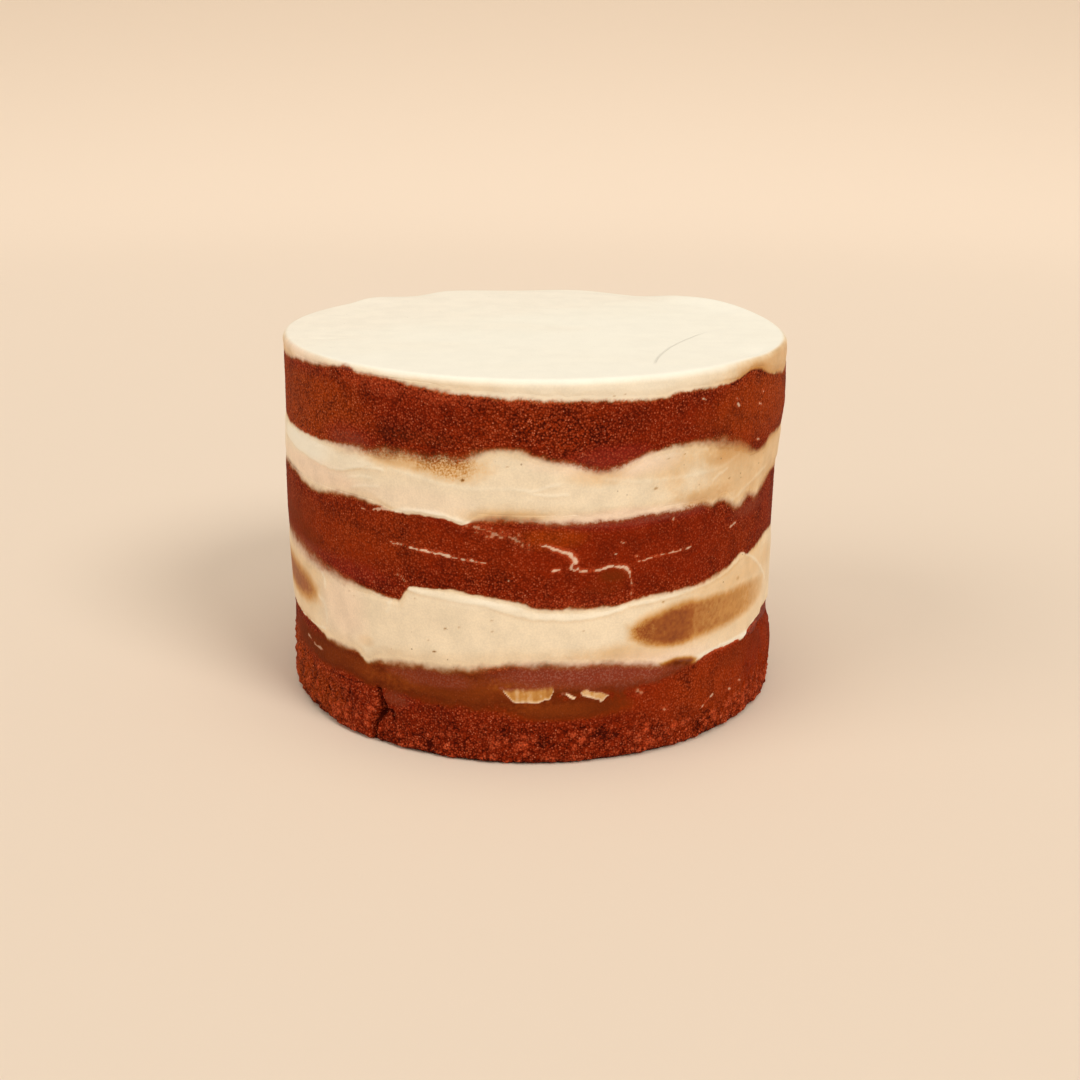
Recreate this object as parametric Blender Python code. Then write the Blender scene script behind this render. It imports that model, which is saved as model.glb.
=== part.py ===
"""Round naked cake: three red sponge layers, two cream fillings scraped thin over the side, and a cream top.

Metres, +Z up. The origin is the centre of the flat underside, and angle 0 faces -Y, growing towards +X.
Every layer is a lathe-like solid of closed rings whose heights follow the wavy edges that the scraper left.
"""
import bmesh
import bpy
import numpy as np
from mathutils import Vector, noise

# Driving dimensions in metres
CAKE_RADIUS = 0.0760
CAKE_HEIGHT = 0.1097
CLEARANCE = 0.0003
CREAM_BACK = 0.0753
SPONGE_COVERED = CREAM_BACK - CLEARANCE
SPONGE_BARE = 0.0754
SPONGE_CORNER = 0.0749
CREAM_TIP = 0.0756
CREAM_SHOULDER = 0.0759

# Flat bottom and top faces of the two fillings, and the icing's flat underside
LOWER_FILLING = (0.0333, 0.0412)
UPPER_FILLING = (0.0733, 0.0806)
ICING_UNDERSIDE = 0.1080

# The icing's rounded top edge: where it starts, its middle and the rim of the flat top, as (radius, height)
ICING_ROUNDING = ((0.0760, 0.1085), (0.0755, 0.1093), (0.0746, CAKE_HEIGHT))
ICING_FLAT_RADIUS = 0.068
ICING_STROKE_RADII = (0.056, 0.034)
ICING_MIDDLE_RADIUS = 0.014
ICING_EDGE_LIMIT = 0.1077

# Thin edge of the scraped cream: height of its blunt tip and of the shoulder behind it
TIP_HEIGHT = 0.00025
SHOULDER_HEIGHT = 0.0010
TOP_SHOULDER_HEIGHT = 0.0005

# Bare sponge starts this far from the tip of the cream, and dips under it at the closer distance
BARE_FROM_TIP = 0.0016
COVERED_FROM_TIP = 0.0005
BARE_SHARES = (0.0, 0.33, 0.67, 1.0)

# Underside: the sponge's foot is rounded in
FOOT_RADIUS = 0.0742
FOOT_HEIGHT = 0.0009
BOTTOM_LAYER_ROWS = (0.0045, 0.0085, 0.0125, 0.0163, 0.0180)

# Edges of the bands round the side, as (angle in degrees, height in millimetres) where the scraper turned
ICING_EDGE = ((-90, 104.0), (-72, 105.0), (-60, 106.3), (-42, 108.8), (-25, 106.9), (-10, 104.8), (3, 103.9),
              (12, 103.9), (28, 103.0), (32, 104.3), (44, 104.2), (54, 106.4), (62, 103.8), (72, 101.6),
              (92, 103.6), (118, 102.4), (150, 105.4), (180, 103.4), (215, 106.2), (245, 104.4))
UPPER_CREAM_TOP = ((-90, 86.8), (-60, 85.8), (-45, 86.5), (-28, 89.4), (-18, 88.4), (-6, 91.3), (5, 88.0),
                   (15, 84.8), (25, 89.0), (32, 89.9), (42, 89.2), (50, 86.5), (60, 81.9), (66, 84.2),
                   (85, 84.8), (110, 88.5), (140, 85.5), (170, 89.5), (205, 86.0), (235, 90.0))
UPPER_CREAM_BOTTOM = ((-90, 70.8), (-68, 72.5), (-57, 70.3), (-42, 72.4), (-30, 70.6), (-5, 71.3), (8, 70.3),
                      (30, 71.0), (46, 70.1), (57, 67.8), (70, 71.5), (90, 70.0), (120, 72.0), (150, 69.6),
                      (185, 71.8), (215, 69.8), (245, 72.0))
LOWER_CREAM_TOP = ((-90, 50.5), (-70, 51.0), (-50, 48.0), (-36, 46.2), (-29.5, 45.3), (-26.5, 49.8),
                   (-17, 50.5), (-5, 48.8), (2, 46.5), (18, 45.9), (24, 47.5), (40, 48.4), (50, 50.0),
                   (54, 52.1), (60, 51.7), (68, 53.4), (90, 50.0), (120, 47.0), (150, 50.5), (185, 46.8),
                   (215, 49.6), (245, 47.4))
LOWER_CREAM_BOTTOM = ((-90, 27.6), (-70, 27.8), (-58, 27.4), (-51, 25.1), (-42, 25.7), (-38.5, 23.4),
                      (-35, 24.8), (-22, 26.4), (-13, 27.2), (-3, 29.6), (5, 29.3), (18, 28.3), (33, 24.0),
                      (46, 25.3), (54, 24.7), (66, 27.8), (90, 25.6), (120, 28.0), (150, 24.8), (180, 27.4),
                      (210, 24.4), (240, 28.4))

# The icing's top edge, pushed up or worn down by the scraper, as (angle in degrees, rise in millimetres)
ICING_RIM_RISE = ((-90, -0.2), (-60, 0.0), (50, 0.0), (64, -0.5), (90, -0.3), (105, 0.4), (128, 1.5),
                  (139, 0.9), (153, -0.9), (169, -0.2), (185, -0.7), (204, 0.0), (213, -0.9), (228, 0.4),
                  (236, -0.3))

# Stations round the cake, as (start, end, steps): close at the torn stretch in front, wide round the back
STATION_SPANS = ((-81, -42, 11), (-42, -24, 12), (-24, 81, 29), (81, 279, 44))

# The torn foot of the bottom layer: a crack from (angle, height in millimetres) down, and crumbs left of it
CRACK_PATH = ((-37.0, 1.0), (-36.5, 7.0), (-34.0, 10.0), (-34.5, 17.0))
CRACK_DEPTH = 0.0018
CRACK_HALF_WIDTH = 1.6
LEDGE_ANGLES = (-47.0, -37.5)
LEDGE_HEIGHT = 0.0168
LEDGE_DEPTH = 0.0005

# Swelling of the bottom layer at its right side
BULGE_CENTRE = (85.0, 0.015)
BULGE_SPREAD = (24.0, 0.008)
BULGE_DEPTH = 0.0006

# Surface relief: size of the crumbs and of the scraper's waves, and how deep each goes
CRUMB_SIZE = 0.0042
CRUMB_DEPTH = 0.00028
COARSE_CRUMB_DEPTH = 0.00045
COARSE_CRUMB_TOP = 0.013
SCRAPE_SIZE = 0.016
SCRAPE_DEPTH = 0.00018
STROKE_SIZE = 0.022
STROKE_DEPTH = 0.00022

# Slow waves of the outline as (waves round the cake, height, phase in degrees); even counts keep it centred
OUTLINE_WAVES = ((2, 0.00022, 40.0), (4, 0.00016, 15.0), (8, 0.00010, 70.0))

# The layers sit a little out of line: at each height in millimetres, how far they are shifted towards +X and
# how much wider they are than the round, both in millimetres
LAYER_OFFSETS = ((0, 0.0, 0.0), (14, 0.0, 0.0), (24, -0.35, -0.65), (38, -0.65, -0.45), (56, -1.0, -0.05),
                 (70, -0.9, 0.0), (80, -0.2, 0.15), (90, 0.45, 0.6), (96, 0.45, 0.6), (108, 0.15, 0.3),
                 (112, 0.1, 0.2))

SHARP_ANGLE = np.radians(50.0)


def periodic_curve(points, angles):
    """Height in metres at each angle, on a smooth closed curve through the points that never overshoots."""
    knots = np.array([point[0] for point in points], float)
    values = np.array([point[1] for point in points], float) * 0.001
    knots = np.concatenate((knots[-2:] - 360.0, knots, knots[:3] + 360.0))
    values = np.concatenate((values[-2:], values, values[:3]))
    widths = np.diff(knots)
    slopes = np.diff(values) / widths
    tangents = np.zeros(len(knots))
    same_way = slopes[:-1] * slopes[1:] > 0.0
    near, far = slopes[:-1][same_way], slopes[1:][same_way]
    tangents[1:-1][same_way] = 2.0 * near * far / (near + far)
    wrapped = (np.asarray(angles, float) - points[0][0]) % 360.0 + points[0][0]
    index = np.clip(np.searchsorted(knots, wrapped, side="right") - 1, 0, len(widths) - 1)
    step = (wrapped - knots[index]) / widths[index]
    rise = (3.0 - 2.0 * step) * step ** 2
    lead = step * (1.0 - step) ** 2 * tangents[index]
    tail = step ** 2 * (step - 1.0) * tangents[index + 1]
    return values[index] * (1.0 - rise) + values[index + 1] * rise + (lead + tail) * widths[index]


def stations():
    """Angles in degrees of the vertical lines of every mesh, once round the cake."""
    spans = [np.linspace(start, end, steps, endpoint=False) for start, end, steps in STATION_SPANS]
    return np.concatenate(spans)


def outline_wave(angles):
    """How far the whole side stands out or in at each angle."""
    total = np.zeros(len(angles))
    for count, height, phase in OUTLINE_WAVES:
        total += height * np.cos(np.radians(count * angles + phase))
    return total


def layer_offset(heights):
    """How far the side is shifted towards +X, and how far it stands out all round, at these heights."""
    levels, shifts, swells = (np.array(column, float) * 0.001 for column in zip(*LAYER_OFFSETS))
    return np.interp(heights, levels, shifts), np.interp(heights, levels, swells)


def relief(angles, radius, heights, size):
    """Smooth bumps between -1 and 1, of the given size, on a ring of this radius and height."""
    across = radius * np.sin(np.radians(angles))
    along = radius * np.cos(np.radians(angles))
    levels = np.broadcast_to(heights, angles.shape)
    return np.array([noise.noise(Vector(spot) / size) for spot in zip(across, along, levels)])


def bell(distance):
    """A smooth bump of height 1 at distance 0 that has faded out at distance 2."""
    return np.exp(-2.0 * np.asarray(distance) ** 2)


def bare_sponge(angles, heights, crumb_depth):
    """Radius of sponge that no cream covers."""
    return SPONGE_BARE + crumb_depth * relief(angles, SPONGE_BARE, heights, CRUMB_SIZE)


def torn_foot(angles, height):
    """How far the bottom layer stands out at one height: the crack, the crumbs beside it and the swelling."""
    crack_heights = [point[1] * 0.001 for point in CRACK_PATH]
    crack_angle = np.interp(height, crack_heights, [point[0] for point in CRACK_PATH])
    crack = CRACK_DEPTH * bell((angles - crack_angle) / CRACK_HALF_WIDTH) * (height <= crack_heights[-1])
    on_ledge = (angles > LEDGE_ANGLES[0]) & (angles < LEDGE_ANGLES[1]) & (height < LEDGE_HEIGHT)
    across = (angles - BULGE_CENTRE[0]) / BULGE_SPREAD[0]
    up = (height - BULGE_CENTRE[1]) / BULGE_SPREAD[1]
    return LEDGE_DEPTH * on_ledge - crack + BULGE_DEPTH * bell(across) * bell(up)


def bare_rows(angles, low, high):
    """Rings of the bare band between two cream edges: two just clear of the cream and two between them."""
    bottom = low + BARE_FROM_TIP
    top = high - BARE_FROM_TIP
    rows = []
    for share in BARE_SHARES:
        height = bottom + (top - bottom) * share
        rows.append((bare_sponge(angles, height, CRUMB_DEPTH), height))
    return rows


def bottom_sponge_rings(angles):
    """The lowest layer: a rounded foot, torn coarse crumb, and a smoother part up to the lower filling."""
    edge = periodic_curve(LOWER_CREAM_BOTTOM, angles)
    rings = [(FOOT_RADIUS, 0.0), (SPONGE_COVERED + torn_foot(angles, FOOT_HEIGHT), FOOT_HEIGHT)]
    for height in BOTTOM_LAYER_ROWS:
        depth = COARSE_CRUMB_DEPTH if height < COARSE_CRUMB_TOP else CRUMB_DEPTH
        rings.append((bare_sponge(angles, height, depth) + torn_foot(angles, height), height))
    rings.append((bare_sponge(angles, edge - BARE_FROM_TIP, CRUMB_DEPTH), edge - BARE_FROM_TIP))
    rings.append((SPONGE_COVERED, edge - COVERED_FROM_TIP))
    rings.append((SPONGE_CORNER, LOWER_FILLING[0] - CLEARANCE))
    return rings


def middle_sponge_rings(angles):
    """The middle layer, bare between the top edge of the lower cream and the bottom of the upper cream."""
    low = periodic_curve(LOWER_CREAM_TOP, angles)
    high = periodic_curve(UPPER_CREAM_BOTTOM, angles)
    rings = [(SPONGE_CORNER, LOWER_FILLING[1] + CLEARANCE), (SPONGE_COVERED, low + COVERED_FROM_TIP)]
    rings += bare_rows(angles, low, high)
    rings += [(SPONGE_COVERED, high - COVERED_FROM_TIP), (SPONGE_CORNER, UPPER_FILLING[0] - CLEARANCE)]
    return rings


def icing_edge_heights(angles):
    """Lower edge of the icing, kept below the icing's underside."""
    return np.minimum(periodic_curve(ICING_EDGE, angles), ICING_EDGE_LIMIT)


def top_sponge_rings(angles):
    """The highest layer, bare between the top edge of the upper cream and the icing."""
    low = periodic_curve(UPPER_CREAM_TOP, angles)
    edge = icing_edge_heights(angles)
    rings = [(SPONGE_CORNER, UPPER_FILLING[1] + CLEARANCE), (SPONGE_COVERED, low + COVERED_FROM_TIP)]
    rings += bare_rows(angles, low, edge)
    rings += [(SPONGE_COVERED, edge - COVERED_FROM_TIP), (SPONGE_CORNER, ICING_UNDERSIDE - CLEARANCE)]
    return rings


def filling_rings(angles, faces, bottom_edge, top_edge):
    """A filling: a flat round whose rim is scraped down and up over the sponge to its two wavy edges."""
    low = periodic_curve(bottom_edge, angles)
    high = periodic_curve(top_edge, angles)
    bottom, top = faces
    middle_low = CAKE_RADIUS + SCRAPE_DEPTH * relief(angles, CAKE_RADIUS, bottom, SCRAPE_SIZE)
    middle_high = CAKE_RADIUS + SCRAPE_DEPTH * relief(angles, CAKE_RADIUS, top, SCRAPE_SIZE)
    return [(CREAM_BACK, bottom), (CREAM_BACK, low + TIP_HEIGHT), (CREAM_TIP, low),
            (CREAM_SHOULDER, low + SHOULDER_HEIGHT), (middle_low, bottom + SHOULDER_HEIGHT),
            (middle_high, top - SHOULDER_HEIGHT), (CREAM_SHOULDER, high - SHOULDER_HEIGHT),
            (CREAM_TIP, high), (CREAM_BACK, high - TIP_HEIGHT), (CREAM_BACK, top)]


def icing_rings(angles):
    """The icing: a thin flat coat with a rounded top edge and a rim scraped down over the top layer."""
    edge = icing_edge_heights(angles)
    rise = periodic_curve(ICING_RIM_RISE, angles)
    rings = [(CREAM_BACK, ICING_UNDERSIDE), (CREAM_BACK, edge + TIP_HEIGHT), (CREAM_TIP, edge),
             (CREAM_SHOULDER, edge + TOP_SHOULDER_HEIGHT)]
    start, middle, rim = ICING_ROUNDING
    rings += [start, (middle[0], middle[1] + 0.5 * rise), (rim[0], rim[1] + rise),
              (ICING_FLAT_RADIUS, CAKE_HEIGHT)]
    for radius in ICING_STROKE_RADII:
        strokes = relief(angles, radius, CAKE_HEIGHT, STROKE_SIZE)
        rings.append((radius, CAKE_HEIGHT - STROKE_DEPTH * np.abs(strokes)))
    rings.append((ICING_MIDDLE_RADIUS, CAKE_HEIGHT))
    return rings


def add_ring(mesh, angles, radius, height, base):
    """Add one closed ring of vertices and its edges, and return the edges."""
    turn = np.radians(angles)
    heights = np.broadcast_to(height, angles.shape)
    shift, swell = layer_offset(heights)
    reach = np.broadcast_to(radius, angles.shape) + outline_wave(angles) + swell
    spots = zip(reach * np.sin(turn) + shift, -reach * np.cos(turn), heights - base)
    corners = [mesh.verts.new(spot) for spot in spots]
    return [mesh.edges.new(pair) for pair in zip(corners, corners[1:] + corners[:1])]


def lathe_layer(name, rings, angles, base, material, parent):
    """Bridge the rings into one closed solid, with flat lids, and stand it at its base height."""
    mesh = bmesh.new()
    loops = [add_ring(mesh, angles, radius, height, base) for radius, height in rings]
    for lower, upper in zip(loops, loops[1:]):
        bmesh.ops.bridge_loops(mesh, edges=lower + upper)
    for rim in (loops[0], loops[-1]):
        bmesh.ops.contextual_create(mesh, geom=rim)
    bmesh.ops.recalc_face_normals(mesh, faces=mesh.faces)
    data = bpy.data.meshes.new(name)
    mesh.to_mesh(data)
    mesh.free()
    data.shade_smooth()
    data.set_sharp_from_angle(angle=SHARP_ANGLE)
    data.materials.append(material)
    layer = bpy.data.objects.new(name, data)
    layer.location = (0.0, 0.0, base)
    layer.parent = parent
    bpy.context.scene.collection.objects.link(layer)
    return layer


def make_material(name, colour, roughness, subsurface):
    """A Principled material of one colour."""
    material = bpy.data.materials.new(name)
    material.use_nodes = True
    shader = material.node_tree.nodes["Principled BSDF"]
    shader.inputs["Base Color"].default_value = (*colour, 1.0)
    shader.inputs["Roughness"].default_value = roughness
    shader.inputs["Metallic"].default_value = 0.0
    shader.inputs["Subsurface Weight"].default_value = subsurface
    return material


def sponge_material(name):
    """Deep red-brown crumb."""
    return make_material(name, (0.190, 0.022, 0.005), 0.85, 0.0)


def cream_material(name):
    """Ivory cream cheese frosting."""
    return make_material(name, (0.870, 0.730, 0.520), 0.55, 0.1)


def clear_scene():
    """Remove whatever the scene starts with."""
    for item in list(bpy.data.objects):
        bpy.data.objects.remove(item, do_unlink=True)


def build_cake():
    """Stack the six layers on one empty at the centre of the underside."""
    clear_scene()
    cake = bpy.data.objects.new("cake", None)
    bpy.context.scene.collection.objects.link(cake)
    angles = stations()
    lower_filling = filling_rings(angles, LOWER_FILLING, LOWER_CREAM_BOTTOM, LOWER_CREAM_TOP)
    upper_filling = filling_rings(angles, UPPER_FILLING, UPPER_CREAM_BOTTOM, UPPER_CREAM_TOP)
    layers = (
        ("sponge_bottom", bottom_sponge_rings(angles), 0.0, sponge_material),
        ("cream_lower", lower_filling, LOWER_FILLING[0], cream_material),
        ("sponge_middle", middle_sponge_rings(angles), LOWER_FILLING[1] + CLEARANCE, sponge_material),
        ("cream_upper", upper_filling, UPPER_FILLING[0], cream_material),
        ("sponge_top", top_sponge_rings(angles), UPPER_FILLING[1] + CLEARANCE, sponge_material),
        ("icing_top", icing_rings(angles), ICING_UNDERSIDE, cream_material),
    )
    for name, rings, base, finish in layers:
        lathe_layer(name, rings, angles, base, finish(name), cake)


build_cake()
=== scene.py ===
"""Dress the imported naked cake: crumbly red sponge, cream scraped thin round the side, and a smooth cream top.

Angles are in degrees round the cake, 0 at the front and growing to the right. Lengths inside the shape
functions are in millimetres and turn into metres where a mesh is written.
"""
import logging
from dataclasses import dataclass
from enum import Enum

import bpy
import numpy as np
from mathutils import Matrix, Vector


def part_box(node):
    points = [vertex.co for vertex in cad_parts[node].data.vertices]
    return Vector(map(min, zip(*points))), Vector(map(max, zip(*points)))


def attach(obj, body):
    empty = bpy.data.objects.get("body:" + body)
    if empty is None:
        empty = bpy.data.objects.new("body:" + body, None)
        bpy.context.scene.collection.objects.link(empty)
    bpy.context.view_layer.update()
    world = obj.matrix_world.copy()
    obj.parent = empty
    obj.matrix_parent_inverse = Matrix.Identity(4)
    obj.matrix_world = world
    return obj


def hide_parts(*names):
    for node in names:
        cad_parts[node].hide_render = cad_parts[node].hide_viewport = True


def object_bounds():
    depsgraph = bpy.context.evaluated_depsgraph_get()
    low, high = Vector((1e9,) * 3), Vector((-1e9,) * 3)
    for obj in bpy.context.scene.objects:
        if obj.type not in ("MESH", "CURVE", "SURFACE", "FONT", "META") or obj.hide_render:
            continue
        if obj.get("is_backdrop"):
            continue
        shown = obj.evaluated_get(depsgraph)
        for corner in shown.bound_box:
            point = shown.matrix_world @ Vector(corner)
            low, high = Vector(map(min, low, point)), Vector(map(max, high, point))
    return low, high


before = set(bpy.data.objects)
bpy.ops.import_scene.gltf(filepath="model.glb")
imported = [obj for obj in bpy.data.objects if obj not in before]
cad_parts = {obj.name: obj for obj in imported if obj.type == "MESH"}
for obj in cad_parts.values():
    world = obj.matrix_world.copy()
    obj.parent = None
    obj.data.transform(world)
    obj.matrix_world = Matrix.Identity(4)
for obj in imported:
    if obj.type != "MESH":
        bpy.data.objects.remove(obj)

CAD_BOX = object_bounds()
MM = 0.001

logging.basicConfig(level=logging.INFO, format="%(message)s")
log = logging.getLogger("cake")

Array = np.ndarray
Points = tuple[tuple[float, float], ...]
Colour = tuple[float, float, float, float]


class Node(Enum):
    """The solids of the frame, from the bottom of the cake to the top."""

    SPONGE_BOTTOM = "sponge_bottom"
    CREAM_LOWER = "cream_lower"
    SPONGE_MIDDLE = "sponge_middle"
    CREAM_UPPER = "cream_upper"
    SPONGE_TOP = "sponge_top"
    ICING_TOP = "icing_top"


class Slot(Enum):
    """Material slots of the record."""

    SPONGE = "sponge"
    CREAM = "cream"


# Grid of every layer: columns round the cake, and rows up the side
COLUMNS = 1140
SIDE_ROWS = 78

# Radii in millimetres: bare sponge, sponge behind cream, the back of the scraped cream, its face at its edges
# and where it is whole, and what nothing passes
BARE_RADIUS = 75.42
COVERED_RADIUS = 74.95
BACK_RADIUS = 74.50
CREAM_SUNK_RADIUS = 75.15
CREAM_FACE_RADIUS = 75.74
LIMIT_RADIUS = 76.00

# How far a layer's side reaches past the edges of the cream over it, in millimetres
EDGE_MARGIN = 3.6

# How far the edges of the cream are frayed: in millimetres, and more for each millimetre of softness
FRAY = 0.44
SOFT_FRAY = 0.13

# How well a small smear covers the sponge, and how whole its cream is
SMEAR_COVER = 0.84
SMEAR_WHOLE = 0.76

# Slow waves of the outline as (waves round the cake, millimetres, phase in degrees)
OUTLINE_WAVES = ((2, 0.22, 40.0), (4, 0.16, 15.0), (8, 0.10, 70.0))

# The layers sit a little out of line: at each height, how far they are shifted towards +X and how much wider
# they are than the round
LAYER_OFFSETS = ((0, 0.0, 0.0), (14, 0.0, 0.0), (24, -0.35, -0.65), (38, -0.65, -0.45), (56, -1.0, -0.05),
                 (70, -0.9, 0.0), (80, -0.2, 0.15), (90, 0.45, 0.6), (96, 0.45, 0.6), (108, 0.15, 0.3),
                 (112, 0.1, 0.2))


def smoothstep(low: float | Array, high: float | Array, value: Array) -> Array:
    """Rise smoothly from 0 at low to 1 at high: three times the square less twice the cube of the share.

    Args:
        low: Value where the rise starts.
        high: Value where it ends.
        value: The values to map.

    Returns:
        Numbers from 0 to 1.
    """
    share = np.clip((value - low) / (high - low), 0.0, 1.0)
    return share * share * (3.0 - 2.0 * share)


def bell(distance: Array) -> Array:
    """Give 1 at distance 0, 0.37 at 1 and next to nothing at 2: e to the minus square of the distance."""
    return np.exp(-distance * distance)


def angle_between(angle: Array, centre: float) -> Array:
    """Shortest signed turn in degrees from centre to each angle."""
    return (angle - centre + 180.0) % 360.0 - 180.0


def periodic_curve(points: Points, angle: Array) -> Array:
    """Read a smooth closed curve through points that never overshoots them.

    Between two points the height is a cubic whose end slopes are the harmonic mean of the straight slopes
    beside them, or flat where the curve turns.

    Args:
        points: Pairs of angle and height, in order round the cake.
        angle: Angles to read.

    Returns:
        Height at each angle.
    """
    knots = np.array([point[0] for point in points], float)
    values = np.array([point[1] for point in points], float)
    knots = np.concatenate((knots[-2:] - 360.0, knots, knots[:3] + 360.0))
    values = np.concatenate((values[-2:], values, values[:3]))
    widths = np.diff(knots)
    slopes = np.diff(values) / widths
    tangents = np.zeros(len(knots))
    same_way = slopes[:-1] * slopes[1:] > 0.0
    near, far = slopes[:-1][same_way], slopes[1:][same_way]
    tangents[1:-1][same_way] = 2.0 * near * far / (near + far)
    wrapped = (angle - points[0][0]) % 360.0 + points[0][0]
    index = np.clip(np.searchsorted(knots, wrapped, side="right") - 1, 0, len(widths) - 1)
    step = (wrapped - knots[index]) / widths[index]
    rise = (3.0 - 2.0 * step) * step ** 2
    lead = step * (1.0 - step) ** 2 * tangents[index]
    tail = step ** 2 * (step - 1.0) * tangents[index + 1]
    return values[index] * (1.0 - rise) + values[index + 1] * rise + (lead + tail) * widths[index]


def outline_wave(angle: Array) -> Array:
    """How far in millimetres the whole side stands out: a sum of slow cosine waves."""
    return sum(size * np.cos(np.radians(count * angle + phase)) for count, size, phase in OUTLINE_WAVES)


def layer_offset(height: Array) -> tuple[Array, Array]:
    """Read how far the layers are shifted towards +X and how much wider they are, in millimetres."""
    levels, shifts, swells = np.array(LAYER_OFFSETS).T
    return np.interp(height, levels, shifts), np.interp(height, levels, swells)


def seen_angle(angle: Array, height: Array) -> Array:
    """Angle on the plain round that the front view shows where the shifted layer has this angle.

    The step is the shift plus the swelling times the sine, over the radius and over the cosine; it fades out
    towards the back.
    """
    shift, swell = layer_offset(height)
    turn = np.radians(angle_between(angle, 0.0))
    facing = np.cos(turn)
    step = (shift + swell * np.sin(turn)) / BARE_RADIUS / np.maximum(facing, 0.3)
    return angle + np.degrees(step) * smoothstep(0.05, 0.45, facing)


def cell_number(x: Array, y: Array, z: Array, seed: int) -> Array:
    """Number from 0 to 1 for each whole-numbered cell, scattered by multiplying and shifting 32-bit words.

    Args:
        x: Whole numbers along the first axis.
        y: Whole numbers along the second axis.
        z: Whole numbers along the third axis.
        seed: Chooses one of many patterns.

    Returns:
        One number for each cell.
    """
    word = 0xFFFFFFFF
    mix = seed * 2654435761
    for axis, factor in ((x, 73856093), (y, 19349663), (z, 83492791)):
        mix = mix ^ (axis.astype(np.int64) * factor)
    mix = mix & word
    for shift, factor in ((15, 0x2C1B3C6D), (12, 0x297A2D39)):
        mix = ((mix ^ (mix >> shift)) * factor) & word
    return (mix ^ (mix >> 15)) / (word + 1)


def on_cylinder(angle: Array, height: Array, stretch: float = 1.0) -> Array:
    """Places in millimetres on the side of the cake, for reading a solid pattern.

    Args:
        angle: Angles round the cake.
        height: Heights above the underside.
        stretch: Above 1 the pattern is that many times longer round the cake than up it.

    Returns:
        Places along a last axis of three.
    """
    turn = np.radians(angle)
    reach = BARE_RADIUS / stretch
    return np.stack((reach * np.sin(turn), -reach * np.cos(turn), height + 0.0 * turn), axis=-1)


def soft_noise(places: Array, size: float, seed: int, octaves: int = 1) -> Array:
    """Smooth value noise: random numbers on a lattice, blended by smoothstep along each axis.

    Args:
        places: Places in millimetres.
        size: Distance between lattice points of the widest octave.
        seed: Chooses the pattern.
        octaves: How many times a finer copy at half the size and height is added.

    Returns:
        Numbers from about -1 to 1.
    """
    total, weight = 0.0, 0.0
    for octave in range(octaves):
        spot = places * (2 ** octave / size) + 17.3 * octave
        cell = np.floor(spot)
        share = spot - cell
        share = share * share * (3.0 - 2.0 * share)
        value = 0.0
        for corner in range(8):
            part, there = 1.0, []
            for axis in range(3):
                step = corner >> axis & 1
                part = part * (share[..., axis] if step else 1.0 - share[..., axis])
                there.append(cell[..., axis] + step)
            value = value + part * cell_number(*there, seed + octave)
        total = total + (2.0 * value - 1.0) * 0.5 ** octave
        weight += 0.5 ** octave
    return total / weight


def crumb_cells(places: Array, size: float, seed: int) -> tuple[Array, Array]:
    """Scatter one grain centre in each cell of a lattice and find the nearest to every place.

    Args:
        places: Places in millimetres.
        size: Width of a cell, about the width of a crumb.
        seed: Chooses the pattern.

    Returns:
        Distance to the nearest grain centre in cell widths, and a random number from 0 to 1 for that grain.
    """
    spot = places / size
    cell = np.floor(spot)
    nearest = np.full(spot.shape[:-1], 9.0)
    name = np.zeros(spot.shape[:-1])
    for shift in range(27):
        steps = (shift % 3 - 1, shift // 3 % 3 - 1, shift // 9 - 1)
        there = [cell[..., axis] + steps[axis] for axis in range(3)]
        away = 0.0
        for axis in range(3):
            centre = there[axis] + 0.1 + 0.8 * cell_number(*there, seed + axis)
            away = away + (spot[..., axis] - centre) ** 2
        closer = away < nearest
        nearest = np.where(closer, away, nearest)
        name = np.where(closer, cell_number(*there, seed + 3), name)
    return np.sqrt(nearest), name


@dataclass(frozen=True)
class Edge:
    """One wavy edge of a band of cream, once round the cake.

    Attributes:
        heights: Pairs of angle and height where the scraper turned.
        softness: Pairs of angle and the width in millimetres over which the cream fades out.
    """

    heights: Points
    softness: Points

    def height(self, angle: Array) -> Array:
        """Height of the edge at each angle."""
        return periodic_curve(self.heights, angle)

    def inside(self, angle: Array, height: Array, ragged: Array, above: bool) -> tuple[Array, Array]:
        """Distance in from the edge, frayed, and how soft the edge is there.

        Args:
            angle: Angles round the cake.
            height: Heights above the underside.
            ragged: Noise from -1 to 1 that frays the edge.
            above: True where the cream is above the edge.

        Returns:
            Millimetres towards the cream, and the width in millimetres over which the cream fades out.
        """
        step = 0.25
        run = 2.0 * np.radians(step) * BARE_RADIUS
        rise = (self.height(angle + step) - self.height(angle - step)) / run
        away = (height - self.height(angle)) / np.sqrt(1.0 + rise * rise)
        width = periodic_curve(self.softness, angle)
        return (away if above else -away) + ragged * (FRAY + SOFT_FRAY * width), width


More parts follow.
